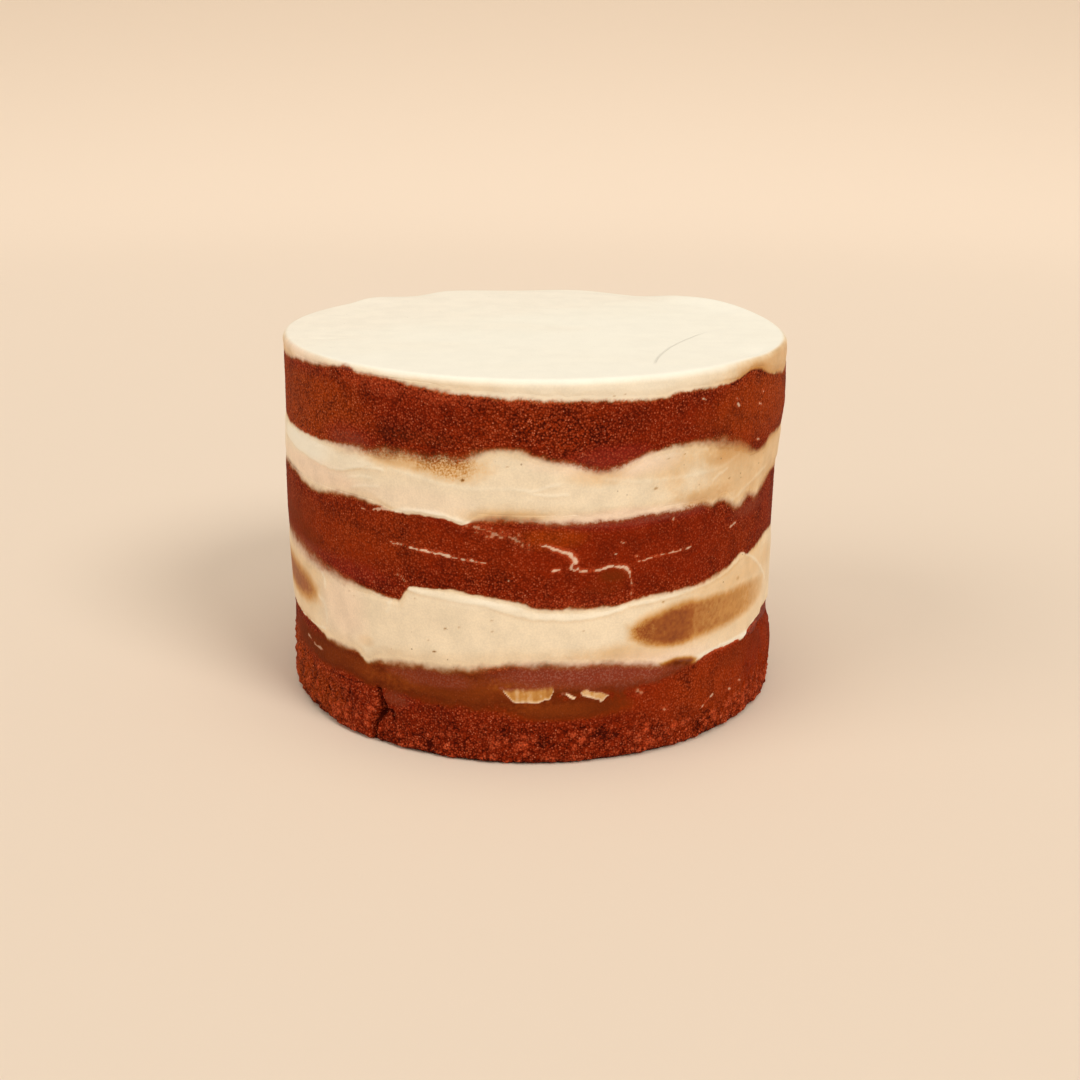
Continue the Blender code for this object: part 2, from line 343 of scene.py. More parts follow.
ICING_EDGE = Edge(
    ((-90, 104.4), (-74, 105.0), (-60, 106.4), (-50, 107.5), (-46.5, 108.0), (-43.6, 108.9),
     (-40.6, 108.0), (-37, 107.4), (-31, 107.3), (-25, 106.4), (-15, 105.2), (-5, 104.4), (3, 103.8),
     (12, 103.8), (27, 102.9), (32, 104.3), (44, 104.2), (49, 105.1), (53.6, 106.3), (57, 105.7),
     (62, 103.8), (68, 102.2), (74, 101.2), (92, 103.6), (118, 102.4), (150, 105.4), (180, 103.4),
     (215, 106.2), (245, 104.4)),
    ((-90, 2.0), (-60, 1.8), (-42, 1.3), (-20, 1.6), (10, 1.5), (40, 1.1), (48, 0.5), (60, 0.8), (80, 1.5),
     (130, 2.2), (180, 0.9), (230, 1.8)),
)
UPPER_TOP = Edge(
    ((-90, 86.8), (-60, 85.8), (-45, 86.4), (-36, 86.6), (-28, 88.0), (-22, 87.2), (-17, 87.4),
     (-12, 89.4), (-6, 91.3), (5, 88.0), (15, 84.8), (25, 89.0), (32, 89.9), (42, 89.2), (50, 86.5),
     (60, 81.9), (66, 84.2), (85, 84.8), (110, 88.5), (140, 85.5), (170, 89.5), (205, 86.0), (235, 90.0)),
    ((-90, 1.4), (-60, 1.2), (-50, 1.2), (-42, 3.0), (-30, 4.4), (-16, 4.4), (-8, 2.2), (6, 2.4),
     (18, 2.4), (28, 1.6), (36, 3.2), (48, 4.6), (58, 2.0), (80, 1.5), (120, 4.4), (160, 1.2), (200, 3.6),
     (240, 1.2)),
)
UPPER_BOTTOM = Edge(
    ((-90, 70.8), (-68, 72.5), (-57, 70.3), (-42, 72.4), (-34, 71.6), (-30, 70.7), (-22, 70.9),
     (-18, 70.5), (-14.6, 69.6), (-12, 70.5), (-5, 71.4), (8, 70.3), (30, 71.0), (38, 71.0), (41.6, 69.8),
     (44.6, 70.8), (48.4, 68.2), (50.8, 66.9), (55.6, 69.0), (59.6, 66.9), (63.6, 69.5), (70, 71.7),
     (90, 70.0), (120, 72.0), (150, 69.6), (185, 71.8), (215, 69.8), (245, 72.0)),
    ((-90, 2.6), (-60, 2.6), (-40, 1.8), (-30, 0.6), (-14, 0.5), (-9, 2.8), (4, 2.4), (20, 1.7), (42, 2.0),
     (50, 3.0), (62, 3.4), (72, 1.8), (110, 1.0), (150, 3.4), (190, 1.2), (230, 3.0)),
)
LOWER_TOP = Edge(
    ((-90, 50.5), (-70, 51.0), (-50, 48.0), (-36, 46.2), (-29.5, 45.3), (-26.5, 49.8), (-17, 50.5),
     (-5, 48.8), (2, 46.5), (18, 45.9), (21, 47.0), (24, 47.4), (40, 48.2), (46, 49.4), (50, 50.6),
     (53.8, 52.5), (56.6, 50.9), (60, 51.6), (68, 53.4), (90, 50.0), (120, 47.0), (150, 50.5), (185, 46.8),
     (215, 49.6), (245, 47.4)),
    ((-90, 5.0), (-70, 6.6), (-48, 5.0), (-40, 1.8), (-31, 0.7), (-26, 0.45), (-10, 0.9), (8, 1.2),
     (22, 0.9), (40, 1.4), (52, 0.8), (56, 0.6), (62, 1.2), (70, 1.4), (100, 3.0), (140, 0.8), (180, 3.4),
     (220, 0.9)),
)
LOWER_BOTTOM = Edge(
    ((-90, 27.6), (-70, 27.8), (-58, 27.4), (-51, 25.1), (-42, 25.7), (-38.5, 23.4), (-35, 24.8),
     (-22, 26.4), (-13, 27.2), (-3, 29.6), (5, 29.3), (18, 28.3), (26, 26.2), (33, 24.0), (37, 23.6),
     (40, 24.4), (42, 25.1), (46, 25.5), (50, 25.2), (54, 24.9), (55.2, 24.1), (57.4, 24.5), (58.6, 26.0),
     (62, 26.8), (66, 27.4), (68, 28.8), (90, 25.6), (120, 28.0), (150, 24.8), (180, 27.4), (210, 24.4),
     (240, 28.4)),
    ((-90, 0.8), (-66, 0.4), (-57, 0.7), (-48, 3.0), (-39, 1.5), (-30, 3.2), (0, 3.4), (24, 3.0),
     (36, 1.2), (44, 0.35), (68, 0.4), (90, 1.0), (120, 3.2), (160, 0.7), (200, 3.0), (235, 0.9)),
)
BANDS: tuple[tuple[Edge, Edge | None], ...] = (
    (LOWER_BOTTOM, LOWER_TOP), (UPPER_BOTTOM, UPPER_TOP), (ICING_EDGE, None))


@dataclass(frozen=True)
class Blot:
    """A soft oval place on the side.

    Attributes:
        angle: Centre, in degrees.
        height: Centre, in millimetres.
        half_angle: Half its width, in degrees.
        half_height: Half its height, in millimetres.
        strength: Value at its centre.
    """

    angle: float
    height: float
    half_angle: float
    half_height: float
    strength: float

    def field(self, angle: Array, height: Array, wobble: Array) -> Array:
        """Strength at each place: flat inside, fading by smoothstep over the rim of the oval.

        Args:
            angle: Angles round the cake.
            height: Heights above the underside.
            wobble: Noise from -1 to 1 that makes the rim uneven.

        Returns:
            Numbers from 0 to the blot's strength.
        """
        across = angle_between(angle, self.angle) / self.half_angle
        up = (height - self.height) / self.half_height
        return self.strength * smoothstep(1.45, 0.45, np.sqrt(across ** 2 + up ** 2) + 0.40 * wobble)


def blots(*rows: tuple[float, float, float, float, float]) -> tuple[Blot, ...]:
    """Make soft places from rows of angle, height, half width in degrees, half height in mm and strength."""
    return tuple(Blot(*row) for row in rows)


def joined(group: tuple[Blot, ...], angle: Array, height: Array, wobble: Array) -> Array:
    """Join soft places: each adds its strength to what is left of 1.

    Args:
        group: The soft places.
        angle: Angles round the cake.
        height: Heights above the underside.
        wobble: Noise from -1 to 1 that makes their rims uneven.

    Returns:
        Numbers from 0 to 1.
    """
    rest = 1.0
    for blot in group:
        rest = rest * (1.0 - blot.field(angle, height, wobble))
    return 1.0 - rest


@dataclass(frozen=True)
class Window:
    """A lens-shaped place where the cream is scraped so thin that the sponge shows through.

    Attributes:
        outline: Angle, lowest height, highest height and strength, in order round the cake.
        softness: Width in millimetres over which it fades out.
    """

    outline: tuple[tuple[float, float, float, float], ...]
    softness: float

    def field(self, angle: Array, height: Array, wobble: Array) -> Array:
        """Strength at each place: full inside the outline, fading by smoothstep across it.

        Args:
            angle: Angles round the cake.
            height: Heights above the underside.
            wobble: Noise from -1 to 1 that makes the rim uneven.

        Returns:
            Numbers from 0 to 1.
        """
        turns, lows, highs, strengths = np.array(self.outline).T
        centre = 0.5 * (turns[0] + turns[-1])
        turn = angle_between(angle, centre) + centre
        low, high = np.interp(turn, turns, lows), np.interp(turn, turns, highs)
        ends = np.minimum(turn - turns[0], turns[-1] - turn) * 1.3
        inside = np.minimum(np.minimum(height - low, high - height), ends) + 0.55 * wobble
        reach = 0.6 * self.softness
        return np.interp(turn, turns, strengths) * smoothstep(-reach, reach, inside)


# Where the scraper went almost down to the sponge
WINDOWS = (
    Window(((21.0, 35.6, 38.6, 0.52), (22.8, 33.8, 40.2, 0.58), (25, 32.6, 41.4, 0.62),
            (30, 31.1, 42.8, 0.65), (34, 30.7, 43.4, 0.65), (36.6, 31.0, 43.6, 0.6),
            (37.6, 31.2, 43.5, 0.51), (38.8, 31.2, 43.4, 0.53), (44, 31.3, 43.2, 0.49),
            (51, 31.5, 43.0, 0.45), (57, 31.8, 42.8, 0.4), (62, 32.6, 42.0, 0.31), (68, 35.0, 40.8, 0.18)),
           4.2),
    Window(((-112, 37.6, 39.6, 0.2), (-104, 35.6, 42.0, 0.34), (-97, 34.2, 43.6, 0.44),
            (-90, 33.6, 44.2, 0.52), (-78, 33.6, 44.0, 0.6), (-68, 33.6, 43.6, 0.62),
            (-62, 33.8, 43.0, 0.6), (-59, 34.6, 42.2, 0.52), (-55.4, 36.4, 40.6, 0.36)), 6.4),
    Window(((28.6, 23.8, 26.4, 0.55), (33.0, 22.2, 27.2, 0.76), (36.6, 22.2, 26.6, 0.68),
            (39, 23.0, 25.4, 0.4)), 2.6),
    Window(((95, 38.0, 39.6, 0.25), (100, 35.2, 41.6, 0.42), (106, 33.4, 43.0, 0.52),
            (112, 32.2, 43.2, 0.56), (118, 32.6, 42.2, 0.5), (124, 34.4, 41.2, 0.38),
            (132, 36.8, 39.8, 0.2)), 4.6),
    Window(((151, 77.6, 79.4, 0.2), (158, 75.4, 81.0, 0.38), (164, 74.6, 82.2, 0.46),
            (170, 74.8, 82.8, 0.42), (177, 76.2, 82.6, 0.32), (186, 78.6, 81.2, 0.16)), 4.6),
    Window(((199, 36.4, 38.0, 0.25), (204, 34.4, 40.4, 0.42), (209, 32.8, 42.0, 0.54),
            (214, 31.8, 42.8, 0.52), (219, 32.6, 41.8, 0.42), (225, 34.6, 40.0, 0.28),
            (232, 36.6, 38.2, 0.14)), 4.8),
)
# Where the cream is thin enough to look tan
THIN_CREAM = blots(
    (-17, 85.2, 8, 3.8, 0.28), (-30, 86.0, 9, 3.2, 0.22), (46, 86.0, 14, 4.2, 0.05),
    (-4, 72.4, 9, 2.2, 0.17), (59, 79, 25, 14, 0.22), (-18, 107.4, 12, 1.6, 0.1), (66, 105.6, 20, 5, 0.28),
    (-38.5, 30.3, 2.6, 1.8, 0.1), (50, 47, 24, 5, 0.1), (58, 38, 22, 14, 0.12), (50, 107, 14, 4, 0.1),
    (24, 31.5, 16, 3.4, 0.16), (-68, 38, 15, 14, 0.12), (12, 83.5, 6, 2.6, 0.12), (-75, 107, 12, 3, 0.2),
    (40, 73.5, 8, 3, 0.14), (30, 84, 18, 3, 0.08), (236, 80.5, 8, 3.6, 0.3), (140, 81, 7, 3.0, 0.35),
    (188, 106.0, 14, 1.8, 0.22),
)
# Crumbs and stains in the cream
SPOTS = blots(
    (-20.9, 31.7, 0.36, 0.32, 1.0), (25.8, 78.6, 0.46, 0.44, 0.5), (28.6, 45.1, 0.3, 0.3, 0.6),
    (-43.4, 44.0, 0.5, 0.3, 0.4), (-41.8, 42.8, 0.4, 0.3, 0.4), (-18.2, 39.2, 0.3, 0.3, 0.6),
    (52, 45, 0.6, 0.4, 0.3), (-14.2, 82.0, 0.4, 0.5, 0.9), (16.2, 104.8, 0.3, 0.3, 0.6),
    (-22.0, 35.0, 0.26, 0.26, 0.5), (-8.2, 39.6, 0.26, 0.26, 0.5), (-8.4, 42.8, 0.26, 0.26, 0.4),
    (-25.0, 46.4, 0.26, 0.26, 0.45), (-15.2, 39.9, 0.24, 0.24, 0.4), (10.6, 39.4, 0.26, 0.24, 0.4),
    (28.9, 86.4, 0.4, 0.24, 0.45), (33.0, 87.0, 0.3, 0.24, 0.5), (-5.2, 86.4, 0.26, 0.26, 0.4),
    (46.6, 77.0, 0.4, 0.24, 0.4), (-31.4, 30.2, 0.26, 0.24, 0.4), (18.4, 104.9, 0.3, 0.24, 0.4),
    (140, 40, 0.5, 0.4, 0.6), (190, 80, 0.4, 0.4, 0.6), (215, 45, 0.4, 0.3, 0.6),
)
# A smear of cream so thin over the sponge that it only browns or mauves it
FILM = blots(
    (-46, 20.8, 19, 5.2, 0.24), (-16, 21.4, 21, 6.0, 0.23), (8, 24.8, 20, 4.8, 0.24),
    (28, 24.6, 8, 2.6, 0.2), (-68, 22.5, 9, 4.5, 0.11), (-68, 54.5, 20, 6.2, 0.11),
    (56, 65.0, 10, 3.0, 0.09), (15.5, 52, 5.2, 4.2, 0.07), (16, 87.4, 12, 3.2, 0.05),
    (-42, 88.0, 7, 3.2, 0.08), (20, 70.4, 22, 1.8, 0.1), (7, 16.6, 13, 3.4, 0.22), (-66, 64, 16, 5, 0.07),
    (-31, 14.4, 3.6, 2.0, 0.11), (17.6, 55.4, 3.6, 2.2, 0.08), (-24, 92.4, 12, 2.6, 0.06),
    (57, 20.6, 13, 4.0, 0.08), (44, 93.5, 12, 3.0, 0.06), (108, 22.6, 9, 3.6, 0.13),
    (117, 20.4, 10, 4.6, 0.1), (130, 23.6, 8, 2.8, 0.12), (138, 20.8, 5, 2.4, 0.07),
    (168, 66.0, 8, 3.2, 0.11), (177, 62.8, 10, 3.8, 0.09), (186, 65.8, 5, 2.2, 0.07),
    (199, 21.4, 8, 3.4, 0.13), (210, 18.2, 9, 3.4, 0.11), (220, 22.0, 6, 2.2, 0.09),
    (221, 56.4, 7, 2.8, 0.1), (230, 53.8, 8, 3.0, 0.08), (130, 93.0, 7, 2.6, 0.1),
    (140, 90.8, 8, 2.2, 0.08), (250, 92.5, 7, 2.6, 0.1),
)
# Places where the crumb is darker
DARK_CRUMB = blots(
    (2.5, 97.0, 6.5, 4.6, 0.55), (13, 95.4, 7, 3.8, 0.55), (-24, 92.6, 11, 2.6, 0.4),
    (45, 92.6, 10, 3.6, 0.45), (-30, 4, 9, 4.5, 0.4), (-8, 3, 16, 3.2, 0.36), (42.6, 7.6, 1.3, 1.1, 0.95),
    (43.2, 5.2, 1.1, 0.9, 1.2), (15.6, 6.8, 0.7, 0.9, 1.3), (18.5, 7.0, 0.5, 0.6, 1.1),
    (6.0, 13.6, 0.7, 0.6, 1.1), (11.8, 13.4, 0.7, 0.6, 1.1), (27, 7.2, 0.6, 0.7, 1.0),
    (6.5, 6.2, 0.9, 1.0, 0.9), (30.2, 12.4, 0.7, 0.6, 0.9), (23.3, 19.2, 0.7, 0.7, 0.8),
    (34, 61, 14, 5, 0.25), (62, 60, 8, 7, 0.3), (26, 66, 12, 3, 0.2), (-42, 66, 8, 4, 0.3),
    (56, 22, 10, 3, 0.45), (62, 90, 7, 6, 0.2), (-10, 54, 20, 3, 0.35), (-24, 3, 12, 4, 0.4),
    (150, 97, 15, 4, 0.5), (230, 62, 12, 4, 0.35), (190, 6, 18, 4, 0.4), (100, 9, 12, 4, 0.3),
)
# Places where the crumb is closed and smooth
SMOOTH_CRUMB = blots(
    (-14, 64, 70, 12, 0.45), (30, 58, 40, 12, 0.45), (55, 16, 34, 11, 0.7), (-60, 56, 24, 10, 0.4),
    (58, 92, 16, 9, 0.35), (10, 18, 22, 5, 0.6), (200, 60, 60, 12, 0.4), (-14, 68, 22, 3, 0.3),
    (36, 94, 12, 6, 0.3), (15, 87, 14, 3, 0.4),
)
# Orange sponge: partly its own tone, partly painted light on the sides, and at the foot a painted reflection of
# warm gold light
WARM_CRUMB = blots(
    (64, 96, 24, 12, 0.9), (58, 13, 27, 14, 0.3), (-62, 95, 24, 13, 0.95), (-50, 60, 22, 9, 0.3),
    (4, 66.6, 7, 3.0, 0.75), (6, 15.6, 14, 2.8, 0.7), (60, 57, 16, 8, 0.3), (-74, 10, 14, 12, 0.95),
    (-58, 8, 14, 9, 0.7), (130, 12, 30, 10, 0.6), (195, 96, 22, 8, 0.55), (160, 56, 20, 7, 0.35),
    (250, 14, 18, 9, 0.5),
)
# Pinker, duller cream, and mauve films
PINK_CREAM = blots(
    (-58, 75.8, 22, 3.8, 0.85), (-46, 37, 8, 11, 0.75), (-66, 107, 16, 4, 0.9), (-26, 75, 14, 4, 0.3),
    (14, 26.6, 24, 4.4, 1.0), (16, 87.2, 14, 4.0, 1.0), (-43, 89.0, 8, 4, 0.9), (20, 70.8, 24, 2.6, 1.0),
    (-58, 50, 24, 3.6, 0.8), (56, 65.5, 9, 4, 0.6), (-22, 23.5, 12, 2.6, 0.6), (-30, 14.8, 5, 2.4, 0.5),
    (110, 78, 24, 6, 0.5), (205, 40, 26, 9, 0.5), (150, 108, 24, 3, 0.5), (112, 22, 12, 3, 0.6),
)
# Whiter cream, and painted highlights on its lips and along the top of the icing's side
WHITER_AND_LIT_CREAM = blots(
    (-62, 83.2, 14, 3.4, 0.75), (0, 47.4, 22, 1.6, 0.25), (33, 46.9, 12, 1.2, 0.25),
    (4, 106.8, 46, 4.2, 0.5), (52, 25.6, 14, 1.0, 0.8), (175, 47.5, 14, 3, 0.5), (125, 85, 10, 2.5, 0.5),
)
# Where the painted light on the icing's rim is weaker: a painted shade on its sides and back
SHADED_RIM = blots((-70, 107, 26, 8, 0.9), (72, 106, 28, 9, 0.95), (150, 106, 30, 6, 0.4))
# Crumbs mixed into the cream
FUZZY_CREAM = blots(
    (-17, 85.8, 8, 4.6, 1.0), (-32, 87.2, 10, 2.6, 0.45), (23, 37.5, 3.5, 3.5, 0.3),
    (20, 71.0, 20, 1.4, 0.6), (14, 86.4, 14, 1.6, 0.6), (8, 104.2, 40, 1.4, 0.6), (27, 90.4, 5, 1.4, 0.7),
    (140, 81, 10, 5, 0.9), (236, 82, 10, 4, 0.8),
)


@dataclass(frozen=True)
class Stroke:
    """A line that the scraper or a crumb left, drawn on the side.

    Attributes:
        path: Pairs of angle and height.
        width: Half its width, in millimetres.
        rise: How far it stands out, in millimetres.
        broken: From 0 for a whole line to 1 and more for a row of crumbs.
        cover: How well it covers the sponge, from 0 to 1.
        shelf: Width in millimetres of a gentle shelf above the line, or 0 for a plain ridge.
    """

    path: Points
    width: float
    rise: float
    broken: float = 0.0
    cover: float = 0.9
    shelf: float = 0.0

    def distance(self, angle: Array, height: Array) -> tuple[Array, Array]:
        """Find how far each place is from the line, and on which side.

        Args:
            angle: Angles round the cake.
            height: Heights above the underside.

        Returns:
            Distance in millimetres, and the same distance signed plus above the line and minus below it.
        """
        nearest = np.full(np.broadcast(angle, height).shape, 99.0)
        signed = nearest.copy()
        for (angle_a, height_a), (angle_b, height_b) in zip(self.path, self.path[1:]):
            across = np.radians(angle_between(angle, angle_a)) * BARE_RADIUS
            up = height - height_a
            run = np.radians(angle_b - angle_a) * BARE_RADIUS
            climb = height_b - height_a
            share = np.clip((across * run + up * climb) / (run * run + climb * climb), 0.0, 1.0)
            away = np.hypot(across - share * run, up - share * climb)
            side = np.sign(run * up - climb * across) * (1.0 if run >= 0.0 else -1.0)
            closer = away < nearest
            nearest = np.where(closer, away, nearest)
            signed = np.where(closer, away * side, signed)
        return nearest, signed


# Ridges and creases in the cream
RIDGES = (
    Stroke(((-76, 81.4), (-66, 80.4), (-60, 80.0), (-50, 79.0), (-45, 79.3), (-42, 80.6), (-37.5, 82.0)),
           0.4, 0.22, shelf=5.5),
    Stroke(((-38, 81.4), (-35, 82.2), (-32.6, 82.0)), 0.4, 0.14),
    Stroke(((-42.4, 77.6), (-39, 78.8), (-36, 79.0)), 0.45, 0.1),
    Stroke(((-41.0, 75.2), (-37.4, 76.4), (-34, 77.0)), 0.45, 0.1),
    Stroke(((-31, 83.0), (-24, 81.6), (-17, 80.2), (-12, 79.6), (-8, 80.0), (-3, 80.1)), 0.7, 0.07),
    Stroke(((53.6, 52.2), (56.0, 51.0), (58.4, 49.2), (62, 46.0), (66, 42.0), (68.8, 38.2)), 0.34, 0.2),
    Stroke(((-3.5, 80.1), (-1.5, 79.7), (0.6, 78.8), (3, 78.5), (7, 78.5)), 0.45, 0.13),
    Stroke(((-1.5, 79.7), (1.5, 80.2), (3.5, 81.0), (5, 81.2)), 0.4, 0.13),
    Stroke(((14, 82.6), (22, 80.9), (34, 80.5), (44, 81.0), (50, 83.0)), 0.6, 0.07),
    Stroke(((41, 77.8), (43, 79.0), (45.6, 80.0)), 0.45, 0.12),
    Stroke(((48.4, 69.6), (52, 71.4), (57, 73.4), (63, 75.4)), 0.6, 0.1),
    Stroke(((-26.4, 49.0), (-22, 48.4), (-17, 48.0), (-10, 47.2), (-7, 46.0), (0, 43.6), (10, 43.0),
            (19, 44.6)), 0.55, 0.18, shelf=3.0),
    Stroke(((21, 45.6), (30, 46.1), (40, 46.9), (47, 48.2), (52, 50.6)), 0.45, 0.12, shelf=1.6),
    Stroke(((-36, 45.6), (-33.0, 44.9), (-31, 44.6)), 0.35, 0.16),
    Stroke(((-31.2, 44.8), (-31.6, 43.6), (-32.4, 41.0)), 0.5, 0.1),
    Stroke(((-56, 47.2), (-54, 46.8), (-52.6, 45.0), (-52.0, 42.0)), 0.4, 0.16),
    Stroke(((-55, 38.4), (-52.4, 36.6), (-51.8, 33.6), (-52.0, 31.0)), 0.45, 0.14),
    Stroke(((37.6, 36.0), (37.3, 30.4)), 0.4, 0.06),
    Stroke(((-30, 70.9), (-26, 71.9), (-20, 71.8), (-17, 71.0), (-14.8, 70.2), (-13.0, 69.9)), 0.75, 0.32),
    Stroke(((37.6, 24.4), (40, 25.1), (42, 25.8), (46, 26.2), (50, 25.9), (53.6, 25.6)), 0.5, 0.22),
    Stroke(((54.6, 25.0), (56.4, 24.8), (58.0, 25.6), (60, 27.2), (66, 28.0)), 0.5, 0.22),
    Stroke(((-68, 27.6), (-62, 27.6), (-57, 27.9), (-53, 28.6)), 0.45, 0.2),
    Stroke(((100, 44.0), (120, 42.6), (140, 45.6)), 0.45, 0.2, shelf=3.0),
    Stroke(((130, 79.0), (150, 81.6), (165, 79.6), (184, 80.6)), 0.45, 0.18, shelf=2.0),
    Stroke(((200, 32.0), (203, 38.0), (201, 44.0)), 0.45, 0.16),
    Stroke(((212, 81.0), (226, 79.0), (240, 80.4)), 0.4, 0.2, shelf=3.0),
    Stroke(((95, 106.4), (112, 105.6), (128, 106.6)), 0.45, 0.12),
)
# Thin cream dragged over the bare sponge
SMEARS = (
    Stroke(((-31, 62.0), (-27, 61.5), (-25, 61.3)), 0.25, 0.08, 0.95, 0.8),
    Stroke(((-26.2, 61.4), (-24, 61.1), (-20.5, 60.8), (-17.2, 60.3)), 0.46, 0.22, 0.5, 0.95),
    Stroke(((-17.2, 60.3), (-13, 59.7), (-9.5, 59.2)), 0.26, 0.12, 0.95, 0.82),
    Stroke(((1.6, 64.8), (2.5, 64.4), (3.7, 63.9)), 0.24, 0.14, 0.35),
    Stroke(((3.7, 63.8), (5.1, 63.1), (6.2, 62.6)), 0.5, 0.3, 0.12),
    Stroke(((6.2, 62.5), (7.3, 62.0), (8.3, 60.8), (9.0, 59.6)), 0.66, 0.34, 0.1, 0.95),
    Stroke(((8.2, 58.7), (8.0, 57.7), (8.8, 57.1), (9.4, 57.8)), 0.42, 0.34, 0.4, 0.8),
    Stroke(((9.9, 56.9), (12.0, 56.7), (14.2, 57.0)), 0.38, 0.24, 0.75, 0.8),
    Stroke(((14.2, 57.0), (16.0, 57.4), (18.4, 57.5), (19.8, 56.9)), 0.4, 0.28, 0.3),
    Stroke(((18.6, 57.3), (19.8, 56.7), (20.5, 55.4)), 0.5, 0.28, 0.12),
    Stroke(((20.5, 55.4), (21.0, 53.6), (21.2, 51.4)), 0.26, 0.12, 0.55, 0.72),
    Stroke(((21.2, 51.4), (21.0, 48.6)), 0.3, 0.1, 1.0, 0.62),
    Stroke(((22.6, 58.0), (28, 58.9), (35.5, 59.5)), 0.24, 0.12, 1.05, 0.8),
    Stroke(((-14, 69.8), (-9, 68.4), (-5, 67.2), (-1, 64.6)), 0.95, 0.08, 1.3, 0.55),
    Stroke(((-35.6, 70.2), (-33.0, 70.8), (-30.8, 71.1)), 0.4, 0.12, 0.9, 0.75),
    Stroke(((4.2, 57.2), (5.6, 57.5)), 0.34, 0.22, 0.2),
    Stroke(((-29.4, 52.8), (-27.2, 50.8)), 0.2, 0.1, 0.45, 0.74),
    Stroke(((-38.6, 69.8), (-37.8, 69.6)), 0.3, 0.14, 0.3, 0.76),
    Stroke(((-33.0, 71.0), (-31.8, 70.9)), 0.38, 0.18, 0.3, 0.85),
    Stroke(((48.4, 61.6), (50.0, 62.6)), 0.34, 0.18, 0.3, 0.76),
    Stroke(((-5, 54.5), (-4.8, 54.4)), 0.26, 0.14), Stroke(((17.2, 61.1), (17.4, 61.0)), 0.28, 0.16),
    Stroke(((18.6, 64.3), (19.4, 63.8)), 0.2, 0.1, 0.0, 0.75),
    Stroke(((21.9, 59.7), (22.1, 59.6)), 0.26, 0.14, 0.0, 0.7),
    Stroke(((30.2, 69.3), (30.5, 68.8)), 0.4, 0.1, 1.1, 0.7),
    Stroke(((40, 9.0), (42, 10.7), (44.6, 12.0)), 0.26, 0.1, 0.95, 0.74),
    Stroke(((48.2, 98.0), (49.0, 97.6)), 0.5, 0.2, 0.6, 0.84),
    Stroke(((48.4, 99.6), (49.2, 99.2)), 0.4, 0.1, 0.8, 0.78),
    Stroke(((59.2, 99.4), (60.2, 99.0)), 0.35, 0.16, 0.5, 0.76),
    Stroke(((58, 96.0), (59, 95.6)), 0.3, 0.1, 0.5, 0.74),
    Stroke(((37.2, 101.8), (38.4, 101.2)), 0.35, 0.12, 1.0, 0.78),
    Stroke(((58, 85.6), (59, 85.1)), 0.35, 0.1, 0.7, 0.74),
    Stroke(((23.2, 19.4), (24.0, 18.9)), 0.55, 0.25, 0.6, 0.5),
    Stroke(((30, 12.6), (30.8, 12.0)), 0.5, 0.2, 0.8, 0.55),
    Stroke(((50.6, 11.4), (51.4, 11.0)), 0.3, 0.14, 0.3, 0.76),
    Stroke(((54.8, 12.5), (55.8, 12.1)), 0.25, 0.1, 0.3, 0.74),
    Stroke(((-63, 22.0), (-59, 21.2), (-55, 21.0)), 0.3, 0.1, 0.7, 0.7),
    Stroke(((138, 60.0), (146, 61.6), (153, 60.8)), 0.45, 0.24, 0.45),
    Stroke(((196, 20.0), (202, 21.4), (207, 20.6)), 0.6, 0.26, 0.4),
    Stroke(((218, 97.0), (224, 95.4), (233, 95.0)), 0.34, 0.18, 0.6),
    Stroke(((110, 97.4), (116, 96.4)), 0.4, 0.18, 0.5),
)


@dataclass(frozen=True)
class Patch:
    """A small scraping of cream with a crisp lower edge.

    Attributes:
        lower: Pairs of angle and height along its lower edge.
        upper: Pairs of angle and height along its upper edge.
        feather: How far in millimetres the upper edge fades in vertical streaks.
        rise: How far it stands out, in millimetres.
        body: How well its middle covers the sponge, from 0 to 1.
    """

    lower: Points
    upper: Points
    feather: float
    rise: float
    body: float

    def field(self, angle: Array, height: Array, ragged: Array, streaks: Array) -> tuple[Array, Array, Array]:
        """Cover at each place: a sharp start at the lower edge, fading at the upper edge.

        Args:
            angle: Angles round the cake.
            height: Heights above the underside.
            ragged: Noise from -1 to 1 that frays the edges.
            streaks: Noise from -1 to 1 that changes only round the cake.

        Returns:
            Cover from 0 to 1, how whole the cream is, and a mask of the bright rim along the lower edge.
        """
        centre = 0.5 * (self.lower[0][0] + self.lower[-1][0])
        turn = angle_between(angle, centre) + centre
        low = np.interp(turn, *np.array(self.lower).T, left=99.0, right=99.0)
        high = np.interp(turn, *np.array(self.upper).T, left=-99.0, right=-99.0)
        above = height - low + 0.22 * ragged
        below = high - height + 0.22 * ragged + 0.25 * self.feather * streaks
        cover = smoothstep(-0.15, 0.30, above) * smoothstep(-0.15, 0.30 + self.feather, below)
        rim = smoothstep(0.9, 0.1, above)
        body = self.body + 0.10 * streaks + 0.06 * ragged
        return cover, np.clip(body + (0.84 - self.body) * rim, 0.0, 1.0), rim


